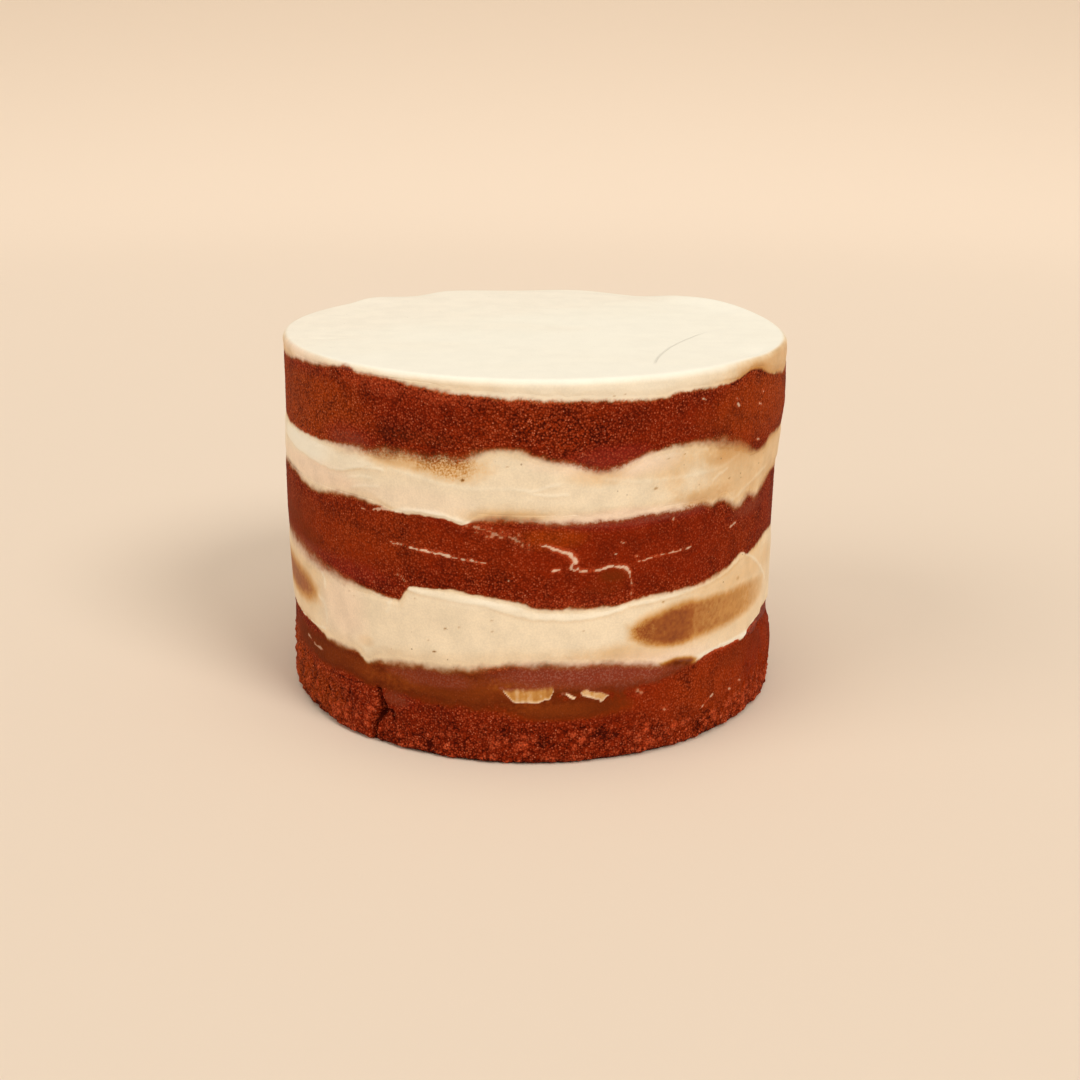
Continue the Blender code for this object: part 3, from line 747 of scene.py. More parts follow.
PATCHES = (
    Patch(((-7.2, 22.9), (-6.0, 22.2), (-5.4, 20.7), (-4.8, 19.7), (-3.9, 18.9), (-2.8, 18.6),
           (-0.6, 18.6), (1.2, 18.4), (2.1, 18.6), (2.7, 19.4), (3.6, 19.4), (4.2, 20.4), (4.6, 22.4)),
          ((-7.2, 23.1), (-6.0, 23.0), (-3.0, 23.2), (2.0, 23.6), (4.2, 24.4), (4.6, 23.0)), 1.6, 0.26,
          0.58),
    Patch(((6.2, 20.9), (7.4, 20.5), (8.0, 19.5), (8.6, 19.0), (9.0, 19.6)),
          ((6.2, 21.2), (7.4, 21.4), (8.2, 20.8), (9.0, 20.0)), 0.1, 0.24, 0.7),
    Patch(((10.2, 20.9), (11.0, 20.0), (12.0, 19.4), (13.4, 18.8), (14.4, 18.4), (15.0, 17.8),
           (15.7, 18.5), (16.5, 19.5)),
          ((10.2, 21.3), (10.9, 22.0), (11.6, 22.2), (12.2, 21.6), (13.4, 21.2), (15.0, 20.8), (16.5, 19.9)),
          0.2, 0.32, 0.62),
    Patch(((168, 21.9), (171, 19.8), (176, 18.6), (179, 19.4), (180, 22.4)),
          ((168, 22.4), (174, 23.4), (180, 22.9)), 0.9, 0.3, 0.6),
)

# Thin shadows under loose edges of cream and crumb
DARK_LINES = (
    Stroke(((46, 103.7), (49, 104.6), (51.5, 105.7), (53.6, 106.3), (56, 105.9), (59, 104.7), (62, 103.3)),
           0.3, 0.0),
    Stroke(((-48, 16.4), (-44, 16.2), (-40, 16.9), (-36.4, 17.3)), 0.3, 0.0),
)

# The torn foot of the bottom layer
CRACK = Stroke(
    ((-35.6, 16.6), (-34.9, 14.0), (-34.0, 10.0), (-36.2, 6.8), (-36.8, 4.0), (-37.2, 0.6)),
    1.05,
    -2.3,
)
SIDE_CRACK = Stroke(((-34.2, 10.4), (-32.0, 10.8), (-31.4, 8.0)), 0.55, -1.2)
LEDGE_ANGLES = (-48.0, -35.2)
LEDGE_TOP = 16.9
LEDGE_RISE = 0.55
BULGE = Blot(86.0, 14.0, 17.0, 6.0, 0.60)
NOTCH = Blot(78.0, 25.0, 18.0, 5.5, 0.90)
COARSE_TOP = ((-90, 18), (-60, 17), (-47, 18), (-36, 17.4), (-33, 10), (-10, 12.5), (20, 13), (35, 9),
              (60, 12), (90, 19), (130, 14), (170, 11), (220, 15), (250, 12))


@dataclass
class Skin:
    """What covers the side at each place of a grid: the masks that the finishes read, and the relief.

    Attributes:
        cream: How well cream covers what is under it, from 0 to 1.
        thin: 0 for whole cream, up to 1 where it is scraped so thin that it looks brown.
        film: Brown or mauve film on the sponge: 0 for none, up to 0.3.
        warm: 1 where the sponge has an orange cast: partly its own tone, partly painted light on the sides and
            a painted gold reflection at the foot.
        dark: 1 where the crumb is darkest, much of it painted shade in the crack, the pits and under loose
            edges; in the cream, crumbs and stains.
        pink: 1 where the cream is pinker and duller.
        fresh_and_lit: 1 where the cream is whitest, where painted highlights whiten ridges, lips and the
            icing's rim, and where the crumb is reddest: a painted highlight on torn crumb that stands proud, or
            beside a smear.
        fuzzy: 1 where crumbs are mixed into the cream.
        open: 1 where the crumb is open, 0 where it is smooth.
        crumbs: Relief of the crumb in millimetres.
        raised: Ridges and smears of cream in millimetres.
        thickness: Thickness of the scraped cream, from 0 to 1.
    """

    cream: Array
    thin: Array
    film: Array
    warm: Array
    dark: Array
    pink: Array
    fresh_and_lit: Array
    fuzzy: Array
    open: Array
    crumbs: Array
    raised: Array
    thickness: Array


SKIN_MASKS = ("cream", "thin", "film", "warm", "dark", "pink", "fresh_and_lit", "fuzzy", "open")


@dataclass(frozen=True)
class Spots:
    """Places on the side of the cake, with the noise read there. Each noise goes from -1 to 1.

    Attributes:
        angle: Angles round the cake.
        height: Heights above the underside.
        places: The same places in millimetres.
        wide: Noise about 9 mm wide.
        grain: Noise about the size of a crumb.
        ragged: Noise drawn out round the cake, which frays the edges of the cream.
        streaks: Noise that changes only round the cake.
        slow: Noise about 34 mm wide.
        swayed: The angles, swayed a little.
        bent: The heights, bent a little.
    """

    angle: Array
    height: Array
    places: Array
    wide: Array
    grain: Array
    ragged: Array
    streaks: Array
    slow: Array
    swayed: Array
    bent: Array

    @classmethod
    def read(cls, angle: Array, height: Array, seed: int) -> "Spots":
        """Read the noise at the angles where the front view shows the places.

        Args:
            angle: Angles round the cake.
            height: Heights above the underside.
            seed: Chooses all the noise.

        Returns:
            The places and their noise.
        """
        angle = seen_angle(angle, height)
        places = on_cylinder(angle, height)

        def noise(size: float, number: int, octaves: int = 2) -> Array:
            """Noise of a size, each number with a pattern of its own."""
            return soft_noise(places, size, seed + number, octaves)

        grain = noise(0.9, 1)
        dragged = soft_noise(on_cylinder(angle, height, 3.0), 1.6, seed + 2, 2)
        return cls(
            angle, height, places, wide=noise(9.0, 0, 3), grain=grain,
            ragged=0.5 * dragged + 0.6 * grain + 0.7 * noise(3.4, 5),
            streaks=soft_noise(on_cylinder(angle, 0.0 * height), 0.8, seed + 3, 2),
            slow=noise(34.0, 4), swayed=angle + 0.42 * noise(2.0, 6), bent=height + 0.42 * noise(2.0, 7))

    def within(self, group: tuple[Blot, ...], rough: float = 0.0) -> Array:
        """Join soft places whose rims follow the wide noise and a share of the grain.

        Args:
            group: The soft places.
            rough: Share of the grain.

        Returns:
            Numbers from 0 to 1.
        """
        return joined(group, self.angle, self.height, self.wide + rough * self.grain)


@dataclass
class SideMap:
    """Works out the skin of the cake's side from the edges, blots, strokes and patches.

    Attributes:
        seed: Chooses all the noise.
    """

    seed: int = 11

    def bands(self, at: Spots) -> tuple[Array, Array, Array]:
        """Cream left by the scraper.

        Args:
            at: Places on the side.

        Returns:
            Cover from 0 to 1; depth from 0 at the edges to 1 well inside; and thickness from 0 to 1,
            feathered at soft edges and blunt at crisp ones.
        """
        cover = np.zeros(at.wide.shape)
        deep, thickness = cover.copy(), cover.copy()
        for low, high in BANDS:
            away, width = low.inside(at.angle, at.height, at.ragged, True)
            if high is not None:
                other, other_width = high.inside(at.angle, at.height, at.ragged, False)
                width = np.where(other < away, other_width, width)
                away = np.minimum(away, other)
            start = -0.3 * width
            blunt = np.minimum(0.2 + 2.4 * width, 6.0)
            cover = np.maximum(cover, smoothstep(-0.62 * width, 0.72 * width, away))
            deep = np.maximum(deep, smoothstep(start, 2.0 + 1.6 * width, away))
            thickness = np.maximum(thickness, smoothstep(start, blunt, away))
        return cover, deep, thickness

    def smears(self, at: Spots) -> tuple[Array, Array, Array, Array]:
        """Small cream on the bare sponge: lines broken up by the grain, and patches.

        Args:
            at: Places on the side.

        Returns:
            Cover from 0 to 1, wholeness of that cream from 0 to 1, rise in millimetres, and how far the crumb
            beside and under a smear is reddened.
        """
        cover = np.zeros(at.wide.shape)
        rise, whole, glow = cover.copy(), cover + SMEAR_WHOLE, cover.copy()
        for stroke in SMEARS:
            away, _ = stroke.distance(at.swayed, at.bent)
            edge = away / stroke.width + stroke.broken * (1.3 * at.grain + 0.28) + 0.60 * at.grain
            here = smoothstep(1.25, 0.55, edge)
            cover = np.maximum(cover, here * stroke.cover * SMEAR_COVER)
            glow = np.maximum(glow, smoothstep(2.6, 0.8, edge) * stroke.cover)
            rise = np.maximum(rise, here * stroke.rise)
        for patch in PATCHES:
            here, body, rim = patch.field(at.swayed, at.bent, at.grain, at.streaks)
            whole = np.where(here > 0.02, body, whole)
            cover = np.maximum(cover, here)
            rise = np.maximum(rise, patch.rise * here * (0.55 + 0.45 * rim))
        return cover, whole, rise, glow

    def ridges(self, at: Spots) -> tuple[Array, Array]:
        """Ridges that the scraper left: a bell across each line, and a shelf above it where it has one.

        Args:
            at: Places on the side.

        Returns:
            Relief in millimetres, and a mask of the crease just under each shelf.
        """
        total = np.zeros(at.wide.shape)
        crease = total.copy()
        for stroke in RIDGES:
            away, signed = stroke.distance(at.swayed, at.bent)
            line = stroke.rise * bell(away / stroke.width)
            if stroke.shelf:
                shelf = stroke.rise * smoothstep(-0.9, 0.4, signed) * smoothstep(stroke.shelf, 0.0, signed)
                line = np.maximum(line, 0.8 * shelf * (away < 2.0 * stroke.shelf))
                crease = np.maximum(crease, bell((signed + 0.55) / 0.45) * (away < 1.4))
            total = np.maximum(total, line)
        return total, crease

    def torn(self, at: Spots) -> tuple[Array, Array]:
        """The cracked foot of the bottom layer, with its ledge, bulge and notch.

        Args:
            at: Places on the side.

        Returns:
            Relief in millimetres, and a mask of the crack's shade.
        """
        relief = np.zeros(at.wide.shape)
        shade = relief.copy()
        for crack in (CRACK, SIDE_CRACK):
            away, _ = crack.distance(at.swayed, at.height)
            depth = bell(np.maximum(away + 0.35 * at.grain, 0.0) / crack.width)
            relief = relief + crack.rise * depth
            shade = np.maximum(shade, depth)
        left, right = LEDGE_ANGLES
        on_ledge = smoothstep(left - 5.0, left + 1.0, angle_between(at.swayed, 0.0))
        on_ledge = on_ledge * (angle_between(at.swayed, right) < 0.0)
        below = smoothstep(LEDGE_TOP + 0.3, LEDGE_TOP - 0.5, at.height + 0.6 * at.grain)
        relief = relief + LEDGE_RISE * on_ledge * below
        bulge, notch = (blot.field(at.swayed, at.height, at.grain) for blot in (BULGE, NOTCH))
        return relief + bulge - notch, shade

    def crumbs(self, places: Array, coarse: Array) -> Array:
        """Relief of the crumb: grains of two sizes and pits between them, all deeper where it is torn."""
        fine_distance, _ = crumb_cells(places, 1.25, self.seed + 20)
        wide_distance, wide_name = crumb_cells(places, 2.6, self.seed + 30)
        swell = soft_noise(places, 6.0, self.seed + 40, 2)
        fine = 0.45 - fine_distance
        wide = 0.5 - wide_distance + 0.25 * (wide_name - 0.5)
        gentle = 0.16 * fine + 0.10 * wide + 0.05 * swell
        torn = 0.48 * fine + 1.10 * wide + 0.34 * swell
        return gentle + coarse * (torn - gentle)

    def thinness(self, at: Spots) -> Array:
        """How thin the cream is scraped in its soft places and windows, from 0 to 1."""
        thin = at.within(THIN_CREAM, 0.5)
        for window in WINDOWS:
            thin = np.maximum(thin, window.field(at.angle, at.height, at.wide + 0.15 * at.grain))
        return thin

    def darkness(self, at: Spots, coarse: Array, crumbs: Array, cracks: Array) -> Array:
        """How dark the sponge is: darker places, painted shade in the crack and in the pits of torn crumb,
        darker towards the bottom of the foot, and painted thin shadows.

        Args:
            at: Places on the side.
            coarse: 1 where the crumb is torn.
            crumbs: Relief of the crumb in millimetres.
            cracks: Mask of the crack's shade.

        Returns:
            Numbers from 0 to 1.
        """
        dark = at.within(DARK_CRUMB) * (0.8 + 0.4 * at.grain) + 0.35 * at.slow
        dark = np.maximum(dark, cracks)
        dark = np.maximum(dark, 0.45 * coarse * smoothstep(3.5, 0.0, at.height))
        # Painted shade in the pits of the torn crumb
        dark = dark + 0.85 * coarse * smoothstep(-0.14, -0.55, crumbs)
        for line in DARK_LINES:
            away, _ = line.distance(at.swayed, at.height)
            dark = np.maximum(dark, smoothstep(1.5, 0.4, away / line.width))
        return np.clip(dark, 0.0, 1.0)

    def brightness(self, at: Spots, ridge: Array, glow: Array, coarse: Array, crumbs: Array) -> Array:
        """Where the cream is whitest and the crumb reddest: whiter cream, painted highlights on ridges, lips
        and proud crumb, reddened crumb beside smears, and painted light on the icing's rim.

        Args:
            at: Places on the side.
            ridge: Relief of the ridges in millimetres.
            glow: How far the crumb beside a smear is reddened.
            coarse: 1 where the crumb is torn.
            crumbs: Relief of the crumb in millimetres.

        Returns:
            Numbers of 0 and more.
        """
        fresh_and_lit = at.within(WHITER_AND_LIT_CREAM) + 2.0 * ridge
        fresh_and_lit = np.maximum(fresh_and_lit, 0.80 * glow)
        fresh_and_lit = np.maximum(fresh_and_lit, 0.9 * coarse * smoothstep(0.06, 0.40, crumbs))
        # Painted light on the icing's rim, weaker on its shaded sides
        lit = smoothstep(106.2, 110.0, at.height + 0.6 * at.wide)
        return np.maximum(fresh_and_lit, lit * (1.0 - at.within(SHADED_RIM)))

    def read(self, angle: Array, height: Array) -> Skin:
        """Work out the skin.

        Args:
            angle: Angles round the cake.
            height: Heights above the underside.

        Returns:
            The masks and relief at each place.
        """
        at = Spots.read(angle, height, self.seed)
        cream, deep, thickness = self.bands(at)
        smear, smear_whole, smear_rise, glow = self.smears(at)
        ridge, crease = self.ridges(at)
        raised = ridge * cream + smear_rise
        coarse_top = periodic_curve(COARSE_TOP, at.angle)
        coarse = smoothstep(coarse_top + 1.5, coarse_top - 3.0, height + 1.8 * at.wide)
        torn, cracks = self.torn(at)
        crumbs = self.crumbs(at.places, coarse)

        # The crease term is a painted shadow under each shelf; the ridge term whitens the ridges as a painted
        # highlight
        thin = self.thinness(at) * (1.0 + 0.16 * at.grain) + 0.06 * crease + 0.10 * (1.0 - deep) - 0.4 * ridge
        thin = np.where(smear > cream, 1.0 - smear_whole, thin)
        pale = 0.8 * (smear > 0.03) * (cream < 0.3)
        glow = glow * (1.0 - cream)
        cream = np.maximum(cream, smear)
        film = at.within(FILM, 0.5) * (0.85 + 0.3 * at.wide) * (1.0 - coarse)
        warm = at.within(WARM_CRUMB) + 0.40 * at.slow + 0.25 * at.wide
        dark = self.darkness(at, coarse, crumbs, cracks) * (1.0 - cream)
        dark = dark + joined(SPOTS, at.swayed, at.bent, at.grain) * cream
        pink = np.maximum(at.within(PINK_CREAM) + 0.15 * at.slow, pale)
        # Whiter cream, with painted highlights on ridges, lips, proud crumb and the icing's rim
        fresh_and_lit = self.brightness(at, ridge, glow, coarse, crumbs)
        opened = 1.0 - at.within(SMOOTH_CRUMB) + 0.3 * at.wide
        opened = np.maximum(opened, coarse * smoothstep(-0.10, 0.28, crumbs))

        masks = (cream, thin, film, warm, dark, pink, fresh_and_lit, at.within(FUZZY_CREAM), opened)
        covered = np.maximum(cream, smoothstep(0.02, 0.12, film))
        relief = (crumbs + torn * (height < 40.0)) * (1.0 - 0.75 * smoothstep(0.05, 0.4, covered))
        return Skin(*(np.clip(mask, 0.0, 1.0) for mask in masks), relief, raised, thickness)


SIDE = SideMap()


def quads_between(rows: int, columns: int) -> Array:
    """Corner numbers of the quads between closed rings, in order up each ring and round the cake.

    Args:
        rows: How many rings there are.
        columns: How many corners each ring has.

    Returns:
        Rows of four corner numbers, whose faces point out.
    """
    row, column = np.meshgrid(np.arange(rows - 1) * columns, np.arange(columns), indexing="ij")
    after = (column + 1) % columns
    corners = (row + column, row + after, row + columns + after, row + columns + column)
    return np.stack(corners, axis=-1).reshape(-1, 4)


@dataclass
class Shell:
    """A closed turned surface: rings of places with a point at each end.

    Attributes:
        rings: Places in millimetres, by row, column and axis; the first and last rows close to a point.
        masks: One array of rows and columns for each mask.
    """

    rings: Array
    masks: dict[str, Array]

    def mesh(self, name: str) -> bpy.types.Mesh:
        """Write the rings, the two end points and the masks into a new mesh.

        Args:
            name: Name of the mesh.

        Returns:
            A closed mesh with its faces pointing out.
        """
        rows, columns = self.rings.shape[:2]
        ends = np.stack((self.rings[0].mean(axis=0), self.rings[-1].mean(axis=0)))
        places = np.concatenate((self.rings.reshape(-1, 3), ends)) * MM
        quads = quads_between(rows, columns)
        column = np.arange(columns)
        after = (column + 1) % columns
        top = (rows - 1) * columns
        low = np.stack((after, column, np.full(columns, rows * columns)), axis=-1)
        high = np.stack((top + column, top + after, np.full(columns, rows * columns + 1)), axis=-1)
        fans = np.concatenate((low, high))
        corners = np.concatenate((quads.ravel(), fans.ravel())).astype(np.int32)
        sizes = np.repeat((4, 3), (len(quads), len(fans)))
        starts = np.concatenate(([0], np.cumsum(sizes)[:-1])).astype(np.int32)
        data = bpy.data.meshes.new(name)
        data.vertices.add(len(places))
        data.vertices.foreach_set("co", places.astype(np.float32).ravel())
        data.loops.add(len(corners))
        data.loops.foreach_set("vertex_index", corners)
        data.polygons.add(len(sizes))
        data.polygons.foreach_set("loop_start", starts)
        data.update(calc_edges=True)
        data.shade_smooth()
        for mask, values in self.masks.items():
            layer = data.attributes.new(mask, "FLOAT", "POINT")
            at_ends = [values[0].mean(), values[-1].mean()]
            layer.data.foreach_set("value", np.concatenate((values.ravel(), at_ends)).astype(np.float32))
        return data


def turned(radius: Array, height: Array, angle: Array) -> Array:
    """Places of a ring or a grid of rings: radius times sine, minus radius times cosine, and height."""
    turn = np.radians(angle)
    flat = np.broadcast_arrays(radius * np.sin(turn), -radius * np.cos(turn), height)
    return np.stack(flat, axis=-1)


def stacked(radius: Array, height: Array, angle: Array, share: float | Array = 1.0) -> Array:
    """Places on the cake: turned, with the outline's waves and the layers' offsets added.

    Args:
        radius: Radius on the plain round.
        height: Height above the underside.
        angle: Angle round the cake.
        share: Part of the waves and of the swelling to add, less than 1 towards the middle of the top.

    Returns:
        Places along a last axis of three.
    """
    shift, swell = layer_offset(height)
    places = turned(radius + (outline_wave(angle) + swell) * share, height, angle)
    places[..., 0] += shift
    return places


def columns_round() -> Array:
    """Angle of every column of a layer's grid."""
    return np.arange(COLUMNS) * (360.0 / COLUMNS)


def ring(radius: float, height: float | Array) -> Array:
    """One ring of places on the cake, at one radius."""
    return stacked(np.full((1, COLUMNS), radius), height, columns_round()[None])


def padded(skin: Skin, before: int, after: int) -> dict[str, Array]:
    """Masks of a side, with the first row repeated before it and the last row after it."""
    return {mask: np.pad(getattr(skin, mask), ((before, after), (0, 0)), mode="edge") for mask in SKIN_MASKS}


def cream_radius(skin: Skin, angle: Array, height: Array) -> Array:
    """Radius of the cream's face in millimetres.

    It rises from below the crumb to its full thickness with the distance in from its edges, and carries the
    ridges and a faint waviness.

    Args:
        skin: Masks and relief of the side.
        angle: Angles round the cake.
        height: Heights above the underside.

    Returns:
        Radius at each place.
    """
    wavy = 0.05 * soft_noise(on_cylinder(angle, height, 2.0), 5.0, 60, 2)
    radius = CREAM_SUNK_RADIUS + (CREAM_FACE_RADIUS - CREAM_SUNK_RADIUS) * skin.thickness + skin.raised + wavy
    return np.minimum(radius, LIMIT_RADIUS)


@dataclass
class Layer:
    """A layer of the cake with a side of its own.

    Attributes:
        node: Solid that the layer stands for.
    """

    node: Node

    # Slot of its finish, and the end of its piece's name
    SLOT = Slot.CREAM
    PIECE = "scraped"

    def grid(self, low: Array, high: Array, rows: int) -> tuple[Array, Array]:
        """Angles and heights of the side: rows spread evenly between two heights at each angle."""
        share = np.linspace(0.0, 1.0, rows)[:, None]
        angle = np.broadcast_to(columns_round(), (rows, COLUMNS))
        return angle, low + (high - low) * share

    def shell(self) -> Shell:
        """Closed surface of the layer."""
        raise NotImplementedError

    def build(self, material: bpy.types.Material) -> None:
        """Put the layer in the scene as a piece that rides on the cake.

        Args:
            material: Its finish.
        """
        data = self.shell().mesh(self.node.value)
        data.materials.append(material)
        piece = bpy.data.objects.new(f"{self.node.value}_{self.PIECE}", data)
        bpy.context.scene.collection.objects.link(piece)
        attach(piece, "root")
        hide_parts(self.node.value)
        log.info("%s: %d faces", piece.name, len(data.polygons))


@dataclass
class SpongeLayer(Layer):
    """One red sponge layer, bare between two cream edges.

    Attributes:
        low_edge: Cream edge at its foot, or None where it stands on the floor.
        high_edge: Cream edge at its top.
    """

    low_edge: Edge | None
    high_edge: Edge

    SLOT = Slot.SPONGE
    PIECE = "crumb"

    # Radii of its flat faces below and above, and depth and height of the rounded foot
    UNDER_RADIUS = 73.9
    OVER_RADIUS = 74.4
    FOOT_DEPTH = 1.3
    FOOT_HEIGHT = 1.6

    def shell(self) -> Shell:
        """Turn the side: the bare radius plus crumbs and smears, sinking behind the cream at both edges."""
        bottom, top = (corner[2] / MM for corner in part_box(self.node.value))
        around = columns_round()
        low = np.full(COLUMNS, bottom)
        if self.low_edge is not None:
            low = np.maximum(self.low_edge.height(around) - EDGE_MARGIN, bottom + 0.2)
        high = np.minimum(self.high_edge.height(around) + EDGE_MARGIN, top - 0.1)
        angle, height = self.grid(low, high, SIDE_ROWS)
        skin = SIDE.read(angle, height)
        sunk = smoothstep(0.75, 1.0, skin.thickness)
        radius = BARE_RADIUS + skin.crumbs + skin.raised - (BARE_RADIUS - COVERED_RADIUS) * sunk
        if self.low_edge is None:
            radius = radius - self.FOOT_DEPTH * smoothstep(self.FOOT_HEIGHT, 0.0, height) ** 2
        side = stacked(np.minimum(radius, LIMIT_RADIUS), height, angle)
        rings = np.concatenate((ring(self.UNDER_RADIUS, bottom), side, ring(self.OVER_RADIUS, top)))
        return Shell(rings, padded(skin, 1, 1))


@dataclass
class Filling(Layer):
    """A cream filling whose rim is scraped down and up over the sponge.

    Attributes:
        low_edge: Its lower edge on the side.
        high_edge: Its upper edge on the side.
    """

    low_edge: Edge
    high_edge: Edge

    # Half its thickness inside the cake
    HALF_THICKNESS = 4.0

    def shell(self) -> Shell:
        """Turn an I-shaped rim, which stands out where it is whole and sinks into the sponge at its edges."""
        around = columns_round()
        low = self.low_edge.height(around) - EDGE_MARGIN
        high = self.high_edge.height(around) + EDGE_MARGIN
        angle, height = self.grid(low, high, SIDE_ROWS)
        skin = SIDE.read(angle, height)
        middle = 0.5 * (low.mean() + high.mean())
        side = stacked(cream_radius(skin, angle, height), height, angle)
        rings = np.concatenate((
            ring(BACK_RADIUS, middle - self.HALF_THICKNESS), ring(BACK_RADIUS, low[None]), side,
            ring(BACK_RADIUS, high[None]), ring(BACK_RADIUS, middle + self.HALF_THICKNESS)))
        return Shell(rings, padded(skin, 2, 2))


@dataclass
class Icing(Layer):
    """The thin coat of cream on top, with its rounded edge and scraped rim.

    Attributes:
        edge: Its lower edge on the side.
        underside: Height of its flat underside.
        round_start: Height where the side starts to round over.
        rim_radius: Radius where the flat top starts.
        flat_height: Height of the flat top.
        highest: Height that nothing passes.
    """

    edge: Edge
    underside: float = 108.0
    round_start: float = 107.7
    rim_radius: float = 73.9
    flat_height: float = 109.7
    highest: float = 111.16

    PIECE = "spread"

    # How far the rim stands above the flat top, by angle
    RIM_RISE = ((-90, -0.2), (-60, 0.0), (50, 0.0), (64, -0.5), (90, -0.3), (105, 0.4), (128, 1.5),
                (139, 0.9), (153, -0.9), (169, -0.2), (185, -0.7), (204, 0.0), (213, -0.9), (228, 0.4),
                (236, -0.3))

    # Rows of the rounded edge, of the top, and of the side below them
    ROUND_ROWS = 8
    TOP_ROWS = 34
    WALL_ROWS = 34

    def shell(self) -> Shell:
        """Turn the side, a quarter round, and a top whose rings close in on the middle."""
        around = columns_round()
        low = self.edge.height(around) - EDGE_MARGIN
        angle, height = self.grid(low, np.full(COLUMNS, self.round_start), self.WALL_ROWS)
        skin = SIDE.read(angle, height)
        wall_radius = cream_radius(skin, angle, height)
        rise = periodic_curve(self.RIM_RISE, around)[None]
        round_radius, round_height = self.rounding(wall_radius[-1:], rise)
        above = np.concatenate((stacked(round_radius, round_height, around[None]), self.top(rise)))
        wall = stacked(wall_radius, height, angle)
        rings = np.concatenate((ring(BACK_RADIUS, self.underside), ring(BACK_RADIUS, low[None]), wall, above))
        edge = SIDE.read(np.broadcast_to(around, round_height.shape), round_height)
        ends = self.top_masks(above, edge)
        sides = padded(skin, 2, 0)
        return Shell(rings, {mask: np.concatenate((sides[mask], ends[mask])) for mask in SKIN_MASKS})

    def rounding(self, start: Array, rise: Array) -> tuple[Array, Array]:
        """Radii and heights of the rounded edge: a quarter of an oval at each angle.

        Args:
            start: Radius where the side ends.
            rise: How far the rim stands above the flat top.

        Returns:
            Radius and height, by row and column.
        """
        turn = np.linspace(0.0, 0.5 * np.pi, self.ROUND_ROWS + 1)[1:, None]
        radius = start - (start - self.rim_radius) * (1.0 - np.cos(turn))
        height = self.round_start + (self.flat_height + rise - self.round_start) * np.sin(turn)
        return radius, np.minimum(height, self.highest)

    def top(self, rise: Array) -> Array:
        """Rings of the top, closing in on the middle: flat, but for the risen rim and the spatula's marks."""
        closing = 1.0 - 0.985 * np.linspace(0.0, 1.0, self.TOP_ROWS + 1)[1:, None] ** 1.15
        radius = self.rim_radius * closing + 0.0 * rise
        flat = stacked(radius, self.flat_height + 0.0 * radius, columns_round()[None], closing)
        lip = rise * smoothstep(66.0, self.rim_radius, radius)
        flat[..., 2] = np.minimum(self.flat_height + lip + self.strokes(flat), self.highest)
        return flat

    def top_masks(self, places: Array, edge: Skin) -> dict[str, Array]:
        """Masks of the rounded edge and the top: the side's own, blending into cream with a painted shade
        towards the back left.

        Args:
            places: Places of the rounded edge and the top.
            edge: The side's skin, carried over the rounded edge.

        Returns:
            Masks of the rows above the side.
        """
        shade_noise = soft_noise(places * np.array((0.5, 1.0, 0.2)), 16.0, 72, 2)
        # Painted shade on the top: pinker and less white towards the back left
        pink = 0.75 * smoothstep(0.35, 1.25, self.shaded(places) + 0.30 * shade_noise)
        plain = {"cream": 1.0, "pink": pink, "fresh_and_lit": 1.0 - 0.30 * pink - 0.10 * np.clip(shade_noise, 0.0, 1.0)}
        blend = smoothstep(0.5, 1.0, np.arange(1, len(places) + 1)[:, None] / self.ROUND_ROWS)
        sides = padded(edge, 0, self.TOP_ROWS)
        return {mask: side * (1.0 - blend) + plain.get(mask, 0.0) * blend for mask, side in sides.items()}

    def shaded(self, places: Array) -> Array:
        """How much painted shade the top gets: from about -0.5 at the front right up to 1.7 at the back left.
        """
        return 0.62 + places[..., 1] / 90.0 - places[..., 0] / 110.0

    def strokes(self, places: Array) -> Array:
        """Marks of the spatula on the top, in millimetres.

        Noise drawn out along X, a wide swell, a dimple and a worn dip at the right front rim.
        """
        drawn = places * np.array((0.14, 1.0, 1.0))
        marks = 0.09 * soft_noise(drawn, 5.0, 70, 2) + 0.12 * soft_noise(places, 30.0, 71, 1) - 0.12
        across, up = places[..., 0], places[..., 1]
        marks = marks - 0.34 * bell(np.hypot((across + 60.4) / 3.4, (up + 20.6) / 1.3))
        return marks - 0.6 * bell(np.hypot((across - 64.0) / 6.0, (up + 36.0) / 8.0))


